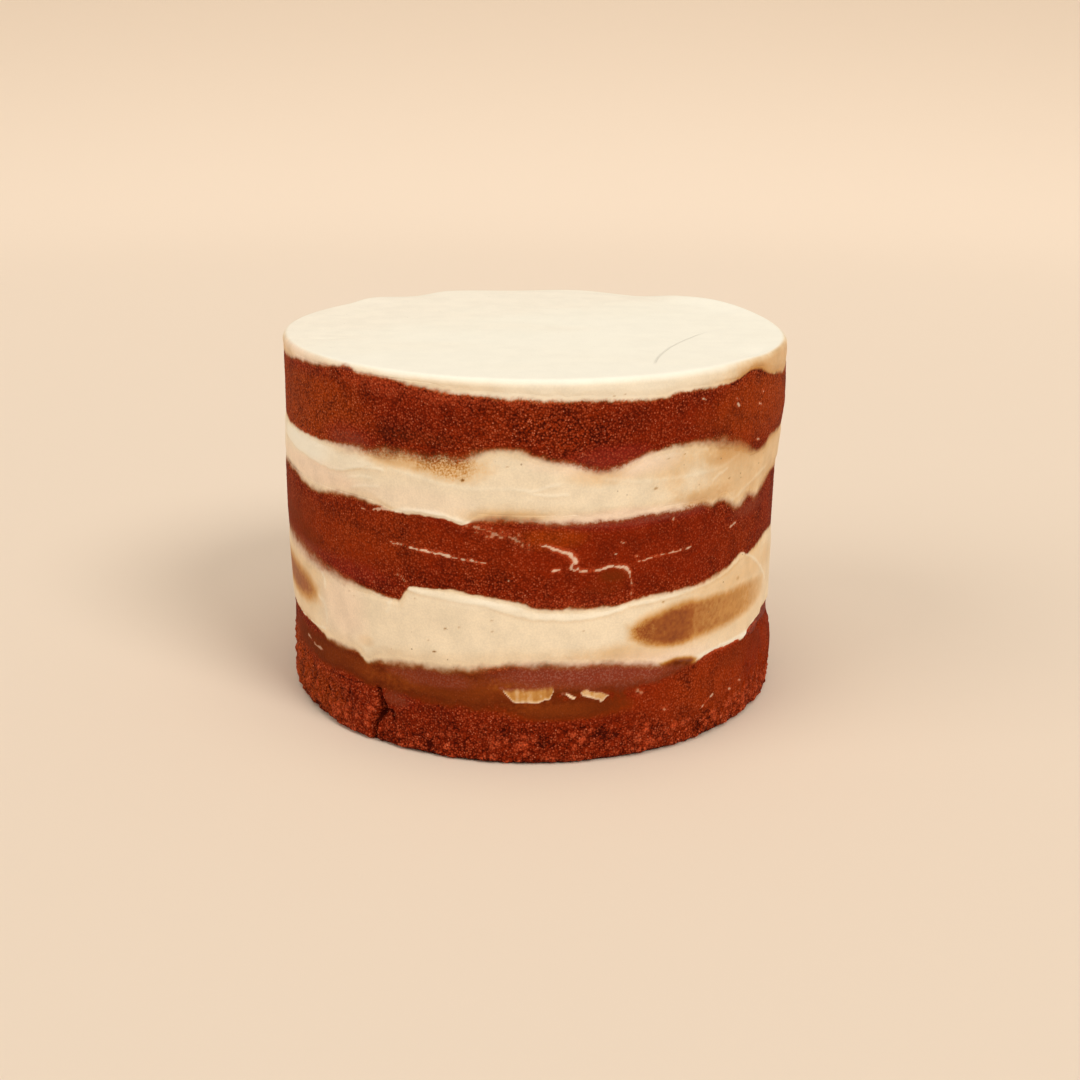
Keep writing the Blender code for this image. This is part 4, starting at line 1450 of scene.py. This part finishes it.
class Graph:
    """Short hand for wiring a node tree.

    Attributes:
        tree: The tree being wired.
    """

    def __init__(self, tree: bpy.types.NodeTree) -> None:
        """Start on an empty tree."""
        self.tree = tree
        tree.nodes.clear()

    def add(self, kind: str, inputs: dict[str | int, object] | None = None,
            **settings: object) -> bpy.types.Node:
        """Add a node.

        Args:
            kind: Blender's name for the node type.
            inputs: Socket by name or number, to a value or to another node's output.
            settings: Properties of the node.

        Returns:
            The new node.
        """
        node = self.tree.nodes.new(kind)
        for name, value in settings.items():
            setattr(node, name, value)
        for socket, value in (inputs or {}).items():
            if isinstance(value, bpy.types.NodeSocket):
                self.tree.links.new(value, node.inputs[socket])
            else:
                node.inputs[socket].default_value = value
        return node

    def math(self, operation: str, first: object, second: object = 0.0,
             clamp: bool = False) -> bpy.types.NodeSocket:
        """Add a Math node and return its output."""
        node = self.add("ShaderNodeMath", {0: first, 1: second}, operation=operation, use_clamp=clamp)
        return node.outputs[0]

    def times(self, first: object, second: object, clamp: bool = False) -> bpy.types.NodeSocket:
        """Multiply two values."""
        return self.math("MULTIPLY", first, second, clamp)

    def plus(self, first: object, second: object, clamp: bool = False) -> bpy.types.NodeSocket:
        """Add two values."""
        return self.math("ADD", first, second, clamp)

    def minus(self, first: object, second: object) -> bpy.types.NodeSocket:
        """Take the second value from the first."""
        return self.math("SUBTRACT", first, second)

    def cells(self, place: object, size: float) -> bpy.types.bpy_prop_collection:
        """Scatter cells of a size in millimetres and return the outputs: distance, colour and place."""
        return self.add("ShaderNodeTexVoronoi", {"Vector": place, "Scale": 1.0 / (size * MM)}).outputs

    def span(self, value: object, low: float, high: float, to_low: float = 0.0,
             to_high: float = 1.0) -> bpy.types.NodeSocket:
        """Map a range smoothly onto another and return the output."""
        node = self.add("ShaderNodeMapRange", {0: value, 1: low, 2: high, 3: to_low, 4: to_high},
                        interpolation_type="SMOOTHSTEP", clamp=True)
        return node.outputs[0]

    def mix(self, share: object, first: object, second: object, blend: str = "MIX") -> bpy.types.NodeSocket:
        """Mix two colours and return the output."""
        node = self.add("ShaderNodeMix", {0: share, 6: first, 7: second}, data_type="RGBA", blend_type=blend,
                        clamp_factor=True)
        return node.outputs[2]


def linear(red: int, green: int, blue: int) -> Colour:
    """Turn a display colour of 0 to 255 into scene-linear values with alpha 1."""
    values = np.array((red, green, blue)) / 255.0
    values = np.where(values <= 0.04045, values / 12.92, ((values + 0.055) / 1.055) ** 2.4)
    return (*values.tolist(), 1.0)


@dataclass(frozen=True)
class SkinFinish:
    """Colours of the cake's side, from bare sponge to whole cream, and the size of its grain.

    Attributes:
        crumb: Bare sponge.
        warm_crumb: Bare sponge with an orange cast, also used for painted light on the sides and a painted gold
            reflection at the foot.
        rosy_crumb: Bare sponge with a rosy cast.
        dark_crumb: Darkest sponge: painted shade in the hollows between grains, the pits, the crack and under
            loose edges, and darker places.
        crumb_highlight: Painted highlight on the middle of the grains.
        ruddy: Painted highlight on torn crumb that stands proud, and crumb reddened beside a smear.
        glint: Painted glints: highlights on moist grains that catch the light.
        frost: Pale grains in a pink film.
        film: Colours from the thinnest film to whole cream, each with its share of cream.
        mauve: Thin pink film on the sponge.
        pink: Pinker, duller cream, and the painted shade on the top.
        fresh_and_lit: Whitest cream, also the colour of the painted highlights on the cream.
        speck: Tiny specks in the cream.
        spot: Crumbs and stains in the cream.
        grain: Size of a grain of sponge, in millimetres.
        clump: Size of a clump of grains, in millimetres.
        speckle: Size of the stretch of cream that holds a speck, in millimetres.
    """

    crumb: Colour = linear(137, 36, 1)
    warm_crumb: Colour = linear(168, 64, 4)
    rosy_crumb: Colour = linear(150, 42, 36)
    dark_crumb: Colour = linear(62, 8, 0)
    crumb_highlight: Colour = linear(196, 102, 64)
    ruddy: Colour = linear(218, 88, 46)
    glint: Colour = linear(240, 170, 132)
    frost: Colour = linear(204, 146, 124)
    film: tuple[tuple[float, Colour], ...] = (
        (0.00, linear(56, 38, 18)), (0.07, linear(117, 41, 2)), (0.16, linear(100, 39, 6)),
        (0.26, linear(128, 57, 14)), (0.40, linear(158, 87, 27)), (0.58, linear(198, 143, 74)),
        (0.80, linear(227, 195, 150)), (1.00, linear(240, 224, 195)),
    )
    mauve: Colour = linear(132, 56, 36)
    pink: Colour = linear(243, 218, 192)
    fresh_and_lit: Colour = linear(246, 240, 222)
    speck: Colour = linear(128, 92, 48)
    spot: Colour = linear(92, 58, 12)
    grain: float = 0.62
    clump: float = 1.5
    speckle: float = 4.2


class SkinGroup:
    """Shader group that turns the side's masks into colour, roughness and height.

    Attributes:
        finish: Colours and sizes.
        tree: The finished group.
    """

    # Two noises over the whole cake, as scale per metre and detail: fine grit, and slow mottling
    FINE = {"Scale": 1800.0, "Detail": 3.0}
    MOTTLE = {"Scale": 160.0, "Detail": 4.0}

    # The scratch on the top, in metres: the middle of its circle along X and Y, and its radius
    SCRATCH_MIDDLE = {0: 0.1360, 1: -0.0675}
    SCRATCH_RADIUS = 0.1041

    def __init__(self, finish: SkinFinish) -> None:
        """Build the group once."""
        self.finish = finish
        self.tree = bpy.data.node_groups.new("cake_skin", "ShaderNodeTree")
        for name in SKIN_MASKS:
            self.tree.interface.new_socket(name, in_out="INPUT", socket_type="NodeSocketFloat")
        for name, kind in (("Colour", "Color"), ("Roughness", "Float"), ("Height", "Float")):
            self.tree.interface.new_socket(name, in_out="OUTPUT", socket_type=f"NodeSocket{kind}")
        self.graph = Graph(self.tree)
        self.given = self.graph.add("NodeGroupInput").outputs
        self.place = self.graph.add("ShaderNodeTexCoord").outputs["Object"]
        self.grain = self.graph.cells(self.place, finish.grain)
        self.fine = self.graph.add("ShaderNodeTexNoise", {"Vector": self.place, **self.FINE}).outputs[0]
        self.mottle = self.graph.add("ShaderNodeTexNoise", {"Vector": self.place, **self.MOTTLE}).outputs[0]
        self.wire()

    def wire(self) -> None:
        """Wire grain, films and cream together: whole cream over films over bare sponge, by cover."""
        graph, given = self.graph, self.given
        fray = graph.times(graph.minus(self.fine, 0.5), graph.plus(0.8, graph.times(given["fuzzy"], 5.0)))
        cover = self.frayed(given["cream"], fray)
        tone = self.frayed(graph.minus(1.0, given["thin"]), graph.times(fray, 0.8))
        tone = graph.math("MINIMUM", tone, graph.span(cover, 0.0, 1.0, 0.50, 1.0))
        tone = graph.minus(tone, graph.times(given["dark"], graph.span(cover, 0.7, 0.95, 0.0, 0.4)))
        coated = graph.span(given["film"], 0.02, 0.12)
        scratch = self.scratch()
        side = self.filmed(self.crumb(), coated)
        colour = graph.mix(graph.math("POWER", cover, 1.5), side, self.cream(tone, cover, scratch))
        graph.add("NodeGroupOutput", {"Colour": colour, "Roughness": graph.span(cover, 0.0, 0.8, 0.75, 0.52),
                                      "Height": self.relief(cover, coated, scratch)})

    def crumb(self) -> bpy.types.NodeSocket:
        """Colour of bare sponge: its cast and painted light, then painted highlights on the grains, painted
        shade in the hollows and pits between them, and painted glints.
        """
        graph, given, finish = self.graph, self.given, self.finish
        away = self.grain["Distance"]
        chosen = graph.add("ShaderNodeSeparateColor", {0: self.grain["Color"]}).outputs
        opened = graph.plus(0.30, graph.times(given["open"], 0.70))

        # Orange cast: the sponge's own tone, painted light on the sides and a painted gold reflection at the
        # foot
        crumb = graph.mix(given["warm"], finish.crumb, finish.warm_crumb)
        crumb = graph.mix(graph.times(given["pink"], 0.45), crumb, finish.rosy_crumb)
        # Painted highlight on torn crumb that stands proud, and crumb reddened beside smears
        crumb = graph.mix(graph.times(given["fresh_and_lit"], 0.85), crumb, finish.ruddy)
        # Painted highlight on the middle of each grain
        lit = graph.times(graph.span(away, 0.62, 0.08), graph.span(chosen[0], 0.1, 1.0, 0.05, 0.72))
        crumb = graph.mix(graph.times(lit, opened), crumb, finish.crumb_highlight)

        # Painted shade in the gaps and pits between grains, with slow darker mottling and the dark mask
        pits = graph.times(graph.span(self.fine, 0.42, 0.62), 0.35)
        gaps = graph.times(graph.span(away, 0.32, 0.80), 0.62)
        hollow = graph.times(graph.plus(gaps, pits), opened)
        hollow = graph.plus(hollow, graph.times(graph.span(self.mottle, 0.42, 0.70), 0.32))
        hollow = graph.times(hollow, graph.plus(0.78, graph.times(given["dark"], 0.7)), clamp=True)
        hollow = graph.math("MAXIMUM", hollow, graph.span(given["dark"], 0.70, 1.0, 0.0, 0.92))
        crumb = graph.mix(hollow, crumb, finish.dark_crumb)

        # Painted glints on moist grains
        shining = graph.times(graph.span(chosen[1], 0.80, 0.96), graph.span(away, 0.30, 0.10))
        shining = graph.times(shining, graph.plus(0.06, graph.times(given["open"], 0.44)))
        return graph.mix(shining, crumb, finish.glint)

    def filmed(self, crumb: object, coated: object) -> bpy.types.NodeSocket:
        """Colour of sponge under a thin film of cream, with pale grains where the film is pink.

        Args:
            crumb: Colour of the bare sponge.
            coated: 1 where a film lies on it.

        Returns:
            The colour.
        """
        graph, given = self.graph, self.given
        film = graph.mix(given["pink"], self.film_colour(given["film"]), self.finish.mauve)
        speckled = graph.mix(graph.times(coated, 0.86), crumb, film)
        frosted = graph.times(graph.times(given["pink"], coated), graph.span(self.fine, 0.46, 0.66))
        return graph.mix(graph.times(frosted, 0.20), speckled, self.finish.frost)

    def cream(self, tone: object, cover: object, scratch: object) -> bpy.types.NodeSocket:
        """Colour of the cream: its tone, whiter cream and painted highlights, cloudy shades, painted shade in
        the scratch, specks, and crumbs and stains.

        Args:
            tone: From 0 for the thinnest cream to 1 for whole cream.
            cover: How well it covers the sponge.
            scratch: Mask of the scratch.

        Returns:
            The colour.
        """
        graph, given, finish = self.graph, self.given, self.finish
        whole = graph.span(tone, 0.55, 0.95)
        cream = graph.mix(graph.times(given["pink"], whole), self.film_colour(tone), finish.pink)
        # Whitest cream, which also carries the painted highlights
        cream = graph.mix(graph.times(given["fresh_and_lit"], whole), cream, finish.fresh_and_lit)
        calm = graph.minus(1.0, graph.times(given["fresh_and_lit"], 0.75))
        clouds = graph.span(self.mottle, 0.3, 0.75, 0.03, -0.09)
        clouds = graph.plus(clouds, graph.span(self.fine, 0.35, 0.65, 0.03, -0.04))
        shade = graph.plus(1.0, graph.times(clouds, calm))
        # Painted shade in the scratch's groove
        shade = graph.minus(shade, graph.times(scratch, 0.16))
        grey = graph.add("ShaderNodeCombineColor", {0: shade, 1: shade, 2: shade}).outputs[0]
        cream = graph.mix(1.0, cream, grey, "MULTIPLY")
        specks = graph.cells(self.place, finish.speckle)
        picked = graph.add("ShaderNodeSeparateColor", {0: specks["Color"]}).outputs[1]
        dot = graph.times(graph.span(specks["Distance"], 0.085, 0.04), graph.span(picked, 0.55, 0.8))
        cream = graph.mix(graph.times(dot, graph.times(calm, 0.6)), cream, finish.speck)
        stained = graph.times(graph.math("POWER", given["dark"], 1.5), graph.span(cover, 0.70, 0.95))
        return graph.mix(stained, cream, finish.spot)

    def relief(self, cover: object, coated: object, scratch: object) -> bpy.types.NodeSocket:
        """Height for the bump: grains, clumps and grit where the sponge is bare, mottling, less the scratch.

        Args:
            cover: How well cream covers the sponge.
            coated: 1 where a film lies on the sponge.
            scratch: Mask of the scratch.

        Returns:
            The height.
        """
        graph = self.graph
        bare = graph.times(graph.span(cover, 0.45, 0.05), graph.minus(1.0, graph.times(coated, 0.6)))
        clumps = graph.cells(self.place, self.finish.clump)
        bumps = graph.times(graph.minus(1.0, self.grain["Distance"]), 0.7)
        bumps = graph.plus(bumps, graph.times(clumps["Distance"], -0.5))
        bumps = graph.plus(bumps, graph.times(self.fine, 0.5))
        height = graph.times(bumps, graph.plus(graph.times(bare, 0.92), 0.08))
        height = graph.plus(height, graph.times(self.mottle, 0.25))
        return graph.minus(height, graph.times(scratch, 0.5))

    def scratch(self) -> bpy.types.NodeSocket:
        """Draw the fine scratch: a part of a circle, only on the top and between two distances along Y."""
        graph = self.graph
        x, y, z = graph.add("ShaderNodeSeparateXYZ", {0: self.place}).outputs
        middle = graph.add("ShaderNodeCombineXYZ", {**self.SCRATCH_MIDDLE, 2: z}).outputs[0]
        away = graph.add("ShaderNodeVectorMath", {0: self.place, 1: middle}, operation="DISTANCE").outputs
        off = graph.math("ABSOLUTE", graph.minus(away["Value"], self.SCRATCH_RADIUS))
        line = graph.times(graph.span(off, 0.0005, 0.0001), graph.span(z, 0.1085, 0.1090))
        ends = graph.times(graph.span(y, -0.056, -0.050), graph.span(y, -0.004, -0.012))
        return graph.times(graph.times(line, ends), graph.span(x, 0.0, 0.01))

    def frayed(self, mask: object, fray: object) -> bpy.types.NodeSocket:
        """Add grain to a mask where it is neither 0 nor 1: the mask plus noise times mask times its rest."""
        middle = self.graph.times(mask, self.graph.minus(1.0, mask))
        return self.graph.plus(mask, self.graph.times(fray, middle), clamp=True)

    def film_colour(self, share: object) -> bpy.types.NodeSocket:
        """Read the colour from the thinnest film to whole cream."""
        ramp = self.graph.add("ShaderNodeValToRGB", {0: share})
        film = self.finish.film
        stops = ramp.color_ramp.elements
        for level, colour in film[1:-1]:
            stops.new(level).color = colour
        stops[0].position, stops[0].color = film[0]
        stops[len(film) - 1].position, stops[len(film) - 1].color = film[-1]
        return ramp.outputs[0]


# Bump of the grain: its strength, and its depth in metres
BUMP = {"Strength": 0.9, "Distance": 0.00035}


def skin_material(name: str, group: SkinGroup, gloss: float) -> bpy.types.Material:
    """Make a finish for one layer from the shared group.

    Args:
        name: Name of the material.
        group: The shared group.
        gloss: Strength of the reflection, from 0 to 1.

    Returns:
        The new material.
    """
    material = bpy.data.materials.new(name)
    material.use_nodes = True
    graph = Graph(material.node_tree)
    masks = {}
    for mask in SKIN_MASKS:
        masks[mask] = graph.add("ShaderNodeAttribute", attribute_name=mask).outputs["Fac"]
    skin = graph.add("ShaderNodeGroup", masks, node_tree=group.tree).outputs
    bump = graph.add("ShaderNodeBump", {**BUMP, "Height": skin["Height"]})
    shader = graph.add("ShaderNodeBsdfPrincipled", {
        "Base Color": skin["Colour"], "Roughness": skin["Roughness"], "Normal": bump.outputs["Normal"],
        "Specular IOR Level": gloss})
    graph.add("ShaderNodeOutputMaterial", {"Surface": shader.outputs["BSDF"]})
    return material


@dataclass(frozen=True)
class CameraView:
    """The photograph's camera, worked out from the round edges of the cake.

    Attributes:
        distance: From the cake's axis, in metres.
        height: Above the floor, in metres.
        pitch: Downward tilt in degrees.
        yaw: Turn to the right in degrees.
        roll: Turn about the line of sight in degrees.
        lens: Focal length in millimetres.
    """

    distance: float = 0.4754
    height: float = 0.1957
    pitch: float = 17.96
    yaw: float = 0.28
    roll: float = 0.49
    lens: float = 52.45

    # Width of the sensor in millimetres
    SENSOR = 36.0

    def build(self) -> None:
        """Put the camera in the scene: forward, right and up from the three turns."""
        pitch, yaw, roll = (np.radians(turn) for turn in (self.pitch, self.yaw, self.roll))
        forward = Vector((np.sin(yaw) * np.cos(pitch), np.cos(yaw) * np.cos(pitch), -np.sin(pitch)))
        right = Vector((np.cos(yaw), -np.sin(yaw), 0.0))
        up = right.cross(forward)
        turned_right = right * np.cos(roll) + up * np.sin(roll)
        turned_up = up * np.cos(roll) - right * np.sin(roll)
        data = bpy.data.cameras.new("camera")
        data.lens = self.lens
        data.sensor_width = self.SENSOR
        data.clip_start = 0.01
        camera = bpy.data.objects.new("camera", data)
        turn = Matrix((turned_right, turned_up, -forward)).transposed().to_4x4()
        camera.matrix_world = Matrix.Translation((0.0, -self.distance, self.height)) @ turn
        bpy.context.scene.collection.objects.link(camera)
        bpy.context.scene.camera = camera


@dataclass(frozen=True)
class Lamp:
    """A far, soft light.

    Attributes:
        name: Name of the light.
        azimuth: Where it shines from, in degrees round the cake, 0 at the front.
        elevation: Its height above the floor in degrees.
        spread: How wide it looks from the cake, in degrees.
        strength: Its strength in watts per square metre.
        colour: Its colour.
    """

    name: str
    azimuth: float
    elevation: float
    spread: float
    strength: float
    colour: tuple[float, float, float]

    def build(self) -> None:
        """Put the light in the scene."""
        data = bpy.data.lights.new(self.name, "SUN")
        data.angle = np.radians(self.spread)
        data.energy = self.strength
        data.color = self.colour
        lamp = bpy.data.objects.new(self.name, data)
        turn, lift = np.radians(self.azimuth), np.radians(self.elevation)
        shine = Vector((-np.sin(turn) * np.cos(lift), np.cos(turn) * np.cos(lift), -np.sin(lift)))
        lamp.rotation_euler = shine.to_track_quat("-Z", "Y").to_euler()
        bpy.context.scene.collection.objects.link(lamp)


LAMPS = (
    Lamp("key", 40.0, 42.0, 22.0, 1.38, (1.0, 0.99, 0.97)),
    Lamp("fill", -62.0, 34.0, 40.0, 0.86, (1.0, 0.99, 0.97)),
    Lamp("top", 10.0, 80.0, 50.0, 0.63, (1.0, 1.0, 0.99)),
)

# Soft light from all round
SURROUND = {"Color": linear(246, 240, 232), "Strength": 0.49}


@dataclass(frozen=True)
class Backdrop:
    """Plain pale floor that curves up at its rim like a shallow bowl.

    Attributes:
        floor_radius: Radius of the flat floor, in metres.
        rim: How far the rim reaches beyond the flat floor.
        rim_height: Height of the rim.
        drop: How far the floor lies below the cake, so that the two faces don't share a plane.
        floor_colour: Colour of the floor.
        wall_colour: Colour of the rim.
    """

    floor_radius: float = 0.9
    rim: float = 1.0
    rim_height: float = 0.8
    drop: float = 0.0002
    floor_colour: Colour = linear(231, 212, 190)
    wall_colour: Colour = linear(202, 181, 157)

    # Radius of the middle fan, rings of the rising rim, and corners of each ring
    INNER_RADIUS = 0.3
    RINGS = 25
    COLUMNS = 96

    def mesh(self) -> bpy.types.Mesh:
        """Turn a profile round the cake's axis: flat, then rising with the cube of the way out."""
        share = np.linspace(0.0, 1.0, self.RINGS)
        radius = np.concatenate(([self.INNER_RADIUS], self.floor_radius + self.rim * share))
        height = np.concatenate(([0.0], self.rim_height * share ** 3))
        columns, rows = self.COLUMNS, len(radius)
        angle = np.arange(columns) * (360.0 / columns)
        places = turned(radius[:, None], height[:, None], angle[None]).reshape(-1, 3)
        facing_up = quads_between(rows, columns)[:, [0, 3, 2, 1]]
        column = np.arange(columns)
        fan = np.stack((column, (column + 1) % columns, np.full(columns, rows * columns)), axis=-1)
        data = bpy.data.meshes.new("floor")
        data.from_pydata(places.tolist() + [(0.0, 0.0, 0.0)], [], facing_up.tolist() + fan.tolist())
        data.shade_smooth()
        return data

    def material(self) -> bpy.types.Material:
        """Make a matt finish that passes from the floor's colour to the rim's."""
        material = bpy.data.materials.new("floor")
        material.use_nodes = True
        graph = Graph(material.node_tree)
        place = graph.add("ShaderNodeTexCoord").outputs["Object"]
        reach = graph.add("ShaderNodeVectorMath", {0: place}, operation="LENGTH").outputs["Value"]
        colour = graph.mix(graph.span(reach, 1.1, 1.9), self.floor_colour, self.wall_colour)
        shader = graph.add("ShaderNodeBsdfPrincipled", {"Base Color": colour, "Roughness": 0.8})
        graph.add("ShaderNodeOutputMaterial", {"Surface": shader.outputs["BSDF"]})
        return material

    def build(self) -> None:
        """Put the floor in the scene."""
        data = self.mesh()
        data.materials.append(self.material())
        floor = bpy.data.objects.new("floor", data)
        floor.location.z = -self.drop
        bpy.context.scene.collection.objects.link(floor)
        floor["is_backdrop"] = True


def build_studio() -> None:
    """Set up the camera, lamps, floor and soft surrounding light."""
    CameraView().build()
    for lamp in LAMPS:
        lamp.build()
    Backdrop().build()
    world = bpy.data.worlds.new("studio")
    world.use_nodes = True
    background = world.node_tree.nodes["Background"]
    for socket, value in SURROUND.items():
        background.inputs[socket].default_value = value
    bpy.context.scene.world = world
    bpy.context.scene.view_settings.view_transform = "Standard"


def write_sizes() -> None:
    """Write the box of the solids and the box of the dressed cake, in metres."""
    boxes = {"cad": CAD_BOX, "visual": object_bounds()}
    for name, box in boxes.items():
        log.info("%s box: %s", name, [[round(x, 5) for x in corner] for corner in box])


def main() -> None:
    """Build the cake from the bottom up, then the studio."""
    group = SkinGroup(SkinFinish())
    sponge = skin_material("red_sponge", group, gloss=0.05)
    cream = skin_material("scraped_cream", group, gloss=0.28)
    layers = (
        (SpongeLayer(Node.SPONGE_BOTTOM, None, LOWER_BOTTOM), sponge),
        (Filling(Node.CREAM_LOWER, LOWER_BOTTOM, LOWER_TOP), cream),
        (SpongeLayer(Node.SPONGE_MIDDLE, LOWER_TOP, UPPER_BOTTOM), sponge),
        (Filling(Node.CREAM_UPPER, UPPER_BOTTOM, UPPER_TOP), cream),
        (SpongeLayer(Node.SPONGE_TOP, UPPER_TOP, ICING_EDGE), sponge),
        (Icing(Node.ICING_TOP, ICING_EDGE), cream),
    )
    for layer, material in layers:
        layer.build(material)
    build_studio()
    write_sizes()


if __name__ == "__main__":
    main()
